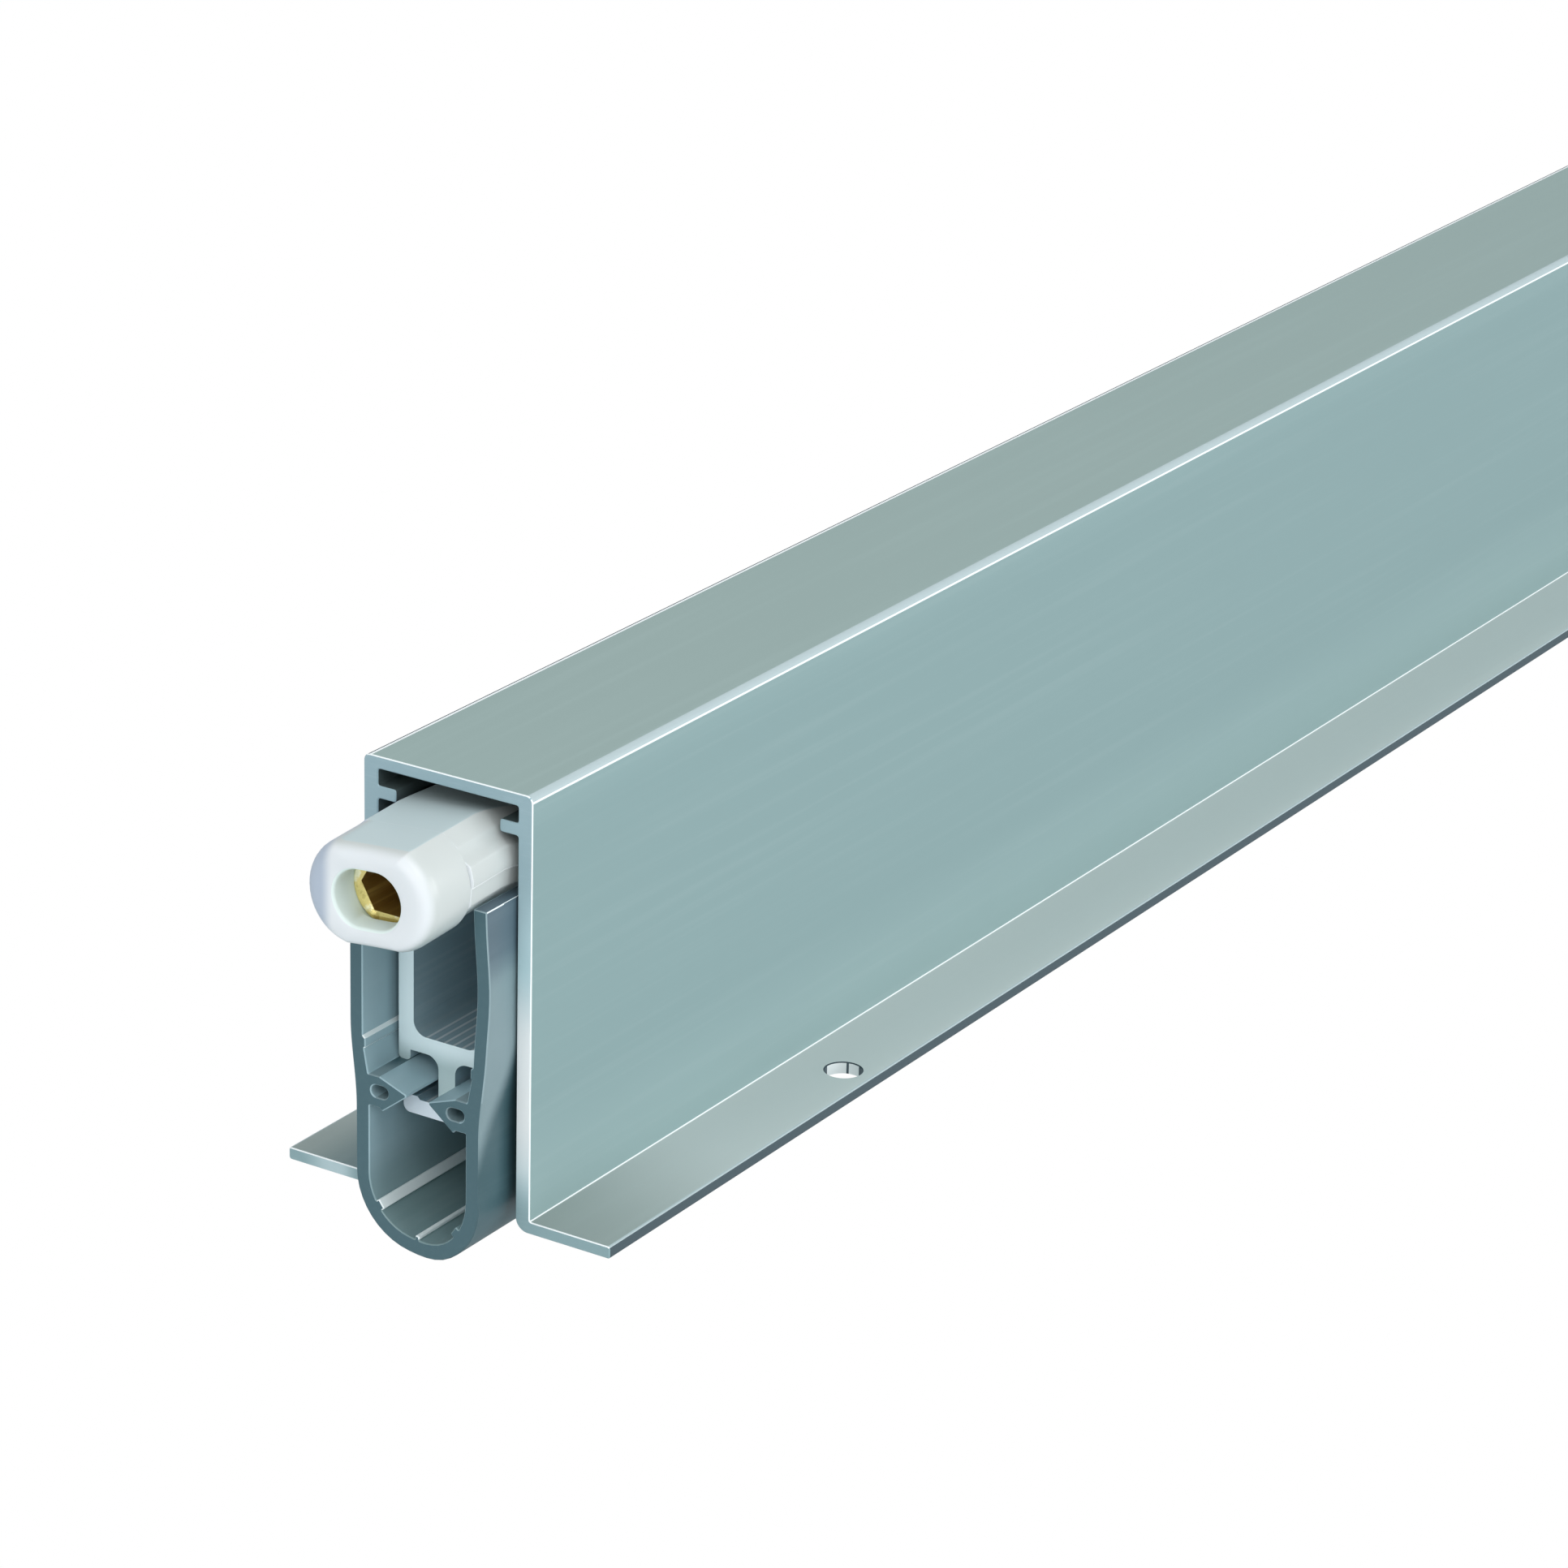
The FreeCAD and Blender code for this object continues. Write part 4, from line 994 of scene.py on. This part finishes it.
SOCKET_FLATS, SOCKET_DEPTH = 3.5, 4.5
ADJUSTER_FORWARD, ADJUSTER_ASIDE = 0.45, 0.12
TAIL_RADIUS, GROOVE_RADIUS = 2.2, 1.4
HEAD_LENGTH, GROOVE_START, GROOVE_END = 8.0, 8.95, 10.05
TURNED, SOCKET = range(2)


def make_adjuster():
    low, high = extent("adjuster_screw")
    radius = (high.z - low.z) / 2
    axis_z = adjuster_axis()
    angles = full_turn(48)

    def ring_at(x, distances):
        return [Vector((x, d * math.cos(a) + ADJUSTER_ASIDE, axis_z + d * math.sin(a)))
                for a, d in zip(angles, distances)]

    def circle(x, distance):
        return ring_at(x, [distance] * len(angles))

    def hexagon(x, flats):
        turns = [(a % (math.pi / 3)) - math.pi / 6 for a in angles]
        return ring_at(x, [flats / 2 / math.cos(turn) for turn in turns])

    head_end = low.x + HEAD_LENGTH
    groove_start, groove_end = low.x + GROOVE_START, low.x + GROOVE_END
    front = low.x - ADJUSTER_FORWARD
    rings = [circle(high.x, TAIL_RADIUS), circle(groove_end, TAIL_RADIUS),
             circle(groove_end, GROOVE_RADIUS), circle(groove_start, GROOVE_RADIUS),
             circle(groove_start, TAIL_RADIUS), circle(head_end, TAIL_RADIUS),
             circle(head_end, radius - 0.25), circle(head_end - 0.25, radius),
             circle(front + 0.3, radius), circle(front + 0.05, radius - 0.1),
             circle(front, radius - 0.2), hexagon(front + 0.12, SOCKET_FLATS),
             hexagon(low.x + SOCKET_DEPTH, SOCKET_FLATS)]
    bm = bmesh.new()
    capped(bm, rings)
    screw = finish_mesh(bm, "adjuster_turned", (brass, brass_painted_shade))

    def choose(normal, middle):
        reach = math.hypot(middle.y - ADJUSTER_ASIDE, middle.z - axis_z)
        # the socket's faces take the brass darkened as painted shade
        return SOCKET if middle.x > front + 0.15 and reach < radius - 0.3 else TURNED

    paint_faces(screw, choose)
    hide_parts("adjuster_screw")
    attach(screw, "adjuster")


# The return spring, a round wire that the bar squashes as it moves; here it keeps one length

WIRE_RADIUS, SPRING_TURNS = 0.35, 9.0


def make_spring():
    low, high = extent("return_spring")
    radius = (high.z - low.z) / 2 - WIRE_RADIUS
    middle = Vector((0, 0, (low.z + high.z) / 2))
    steps_per_turn, corners = 28, 8
    steps = int(SPRING_TURNS * steps_per_turn)
    rings = []
    for step in range(steps + 1):
        share = step / steps
        angle = share * SPRING_TURNS * 2 * math.pi
        x = low.x + WIRE_RADIUS + (high.x - low.x - 2 * WIRE_RADIUS) * share
        out = Vector((0, math.sin(angle), math.cos(angle)))
        centre = middle + out * radius + Vector((x, 0, 0))
        ring = []
        for turn in full_turn(corners):
            offset = out * math.cos(turn) + Vector((1, 0, 0)) * math.sin(turn)
            ring.append(centre + offset * WIRE_RADIUS)
        rings.append(ring)
    bm = bmesh.new()
    capped(bm, rings)
    spring = finish_mesh(bm, "coil_spring", (steel,))
    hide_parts("return_spring")
    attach(spring, "housing")
    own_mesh(spring)


make_housing()
make_seal()
make_button()
make_adjuster()
make_spring()


# Stage, lights and camera

def area_light(name, place, target, width, height, power):
    """A soft rectangular light that looks from its place to a target."""
    data = bpy.data.lights.new(name, "AREA")
    data.shape = "RECTANGLE"
    data.size, data.size_y = width, height
    data.energy = power
    light = bpy.data.objects.new(name, data)
    bpy.context.scene.collection.objects.link(light)
    light.location = place
    aim = Vector(target) - Vector(place)
    light.rotation_euler = aim.to_track_quat("-Z", "Y").to_euler()


def split_by_camera(tree, lit, seen, output_kind):
    """One shader for what the camera sees, another for the light that it gives."""
    path = tree.nodes.new("ShaderNodeLightPath")
    choose = tree.nodes.new("ShaderNodeMixShader")
    output = tree.nodes.new(output_kind)
    tree.links.new(path.outputs["Is Camera Ray"], choose.inputs["Fac"])
    tree.links.new(lit.outputs[0], choose.inputs[1])
    tree.links.new(seen.outputs[0], choose.inputs[2])
    tree.links.new(choose.outputs["Shader"], output.inputs["Surface"])


def floor_material():
    """White to the camera, a plain pale surface to everything else."""
    material = bpy.data.materials.new("floor")
    material.use_nodes = True
    tree = material.node_tree
    tree.nodes.clear()
    seen = tree.nodes.new("ShaderNodeEmission")
    seen.inputs["Color"].default_value = (1, 1, 1, 1)
    lit = tree.nodes.new("ShaderNodeBsdfDiffuse")
    lit.inputs["Color"].default_value = (0.75, 0.78, 0.79, 1)
    split_by_camera(tree, lit, seen, "ShaderNodeOutputMaterial")
    return material


def make_world():
    """White to the camera, a soft cool light to everything else."""
    world = bpy.data.worlds.new("studio")
    bpy.context.scene.world = world
    world.use_nodes = True
    tree = world.node_tree
    tree.nodes.clear()
    seen = tree.nodes.new("ShaderNodeBackground")
    seen.inputs["Color"].default_value = (1, 1, 1, 1)
    lit = tree.nodes.new("ShaderNodeBackground")
    lit.inputs["Color"].default_value = (0.92, 0.97, 1.0, 1)
    lit.inputs["Strength"].default_value = 0.45
    split_by_camera(tree, lit, seen, "ShaderNodeOutputWorld")


FLOOR_Z, FLOOR_REACH = -0.02, 3000  # metres, and millimetres to each side


def make_floor():
    bm = bmesh.new()
    bmesh.ops.create_grid(bm, x_segments=1, y_segments=1, size=FLOOR_REACH)
    floor = finish_mesh(bm, "floor", (floor_material(),))
    floor.location.z = FLOOR_Z


# The camera was fitted to the photograph, and its focal length is in the photograph's pixels
AZIMUTH, ELEVATION, ROLL = math.radians(-57.9251), math.radians(21.59), math.radians(1.5155)
CAMERA_PLACE = (-0.428247, -0.188187, 0.156102)
FOCAL_PIXELS, PICTURE_PIXELS, SENSOR = 6817.04, 1932.0, 36.0


def make_camera():
    data = bpy.data.cameras.new("camera")
    data.sensor_width = SENSOR
    data.lens = FOCAL_PIXELS * SENSOR / PICTURE_PIXELS
    data.clip_start, data.clip_end = 0.01, 20
    camera = bpy.data.objects.new("camera", data)
    bpy.context.scene.collection.objects.link(camera)
    bpy.context.scene.camera = camera
    back = Vector((math.sin(AZIMUTH) * math.cos(ELEVATION),
                   -math.cos(AZIMUTH) * math.cos(ELEVATION), math.sin(ELEVATION)))
    level_right = Vector((math.cos(AZIMUTH), math.sin(AZIMUTH), 0))
    level_up = back.cross(level_right)
    right = level_right * math.cos(ROLL) + level_up * math.sin(ROLL)
    up = level_up * math.cos(ROLL) - level_right * math.sin(ROLL)
    turn = Matrix((right, up, back)).transposed().to_4x4()
    camera.matrix_world = Matrix.Translation(CAMERA_PLACE) @ turn


make_floor()
make_world()
area_light("key", (-0.55, -0.35, 0.55), (-0.12, 0, 0.01), width=0.5, height=0.5, power=1.6)
area_light("front", (-0.75, 0.05, 0.12), (-0.16, 0, 0.01), width=0.35, height=0.35, power=0.8)
area_light("side", (0.05, -0.8, 0.25), (0.0, 0, 0.01), width=0.8, height=0.4, power=4.0)
area_light("top", (0.0, 0.1, 0.8), (0.0, 0, 0.01), width=0.9, height=0.4, power=2.0)
make_camera()
bpy.context.scene.view_settings.view_transform = "Standard"
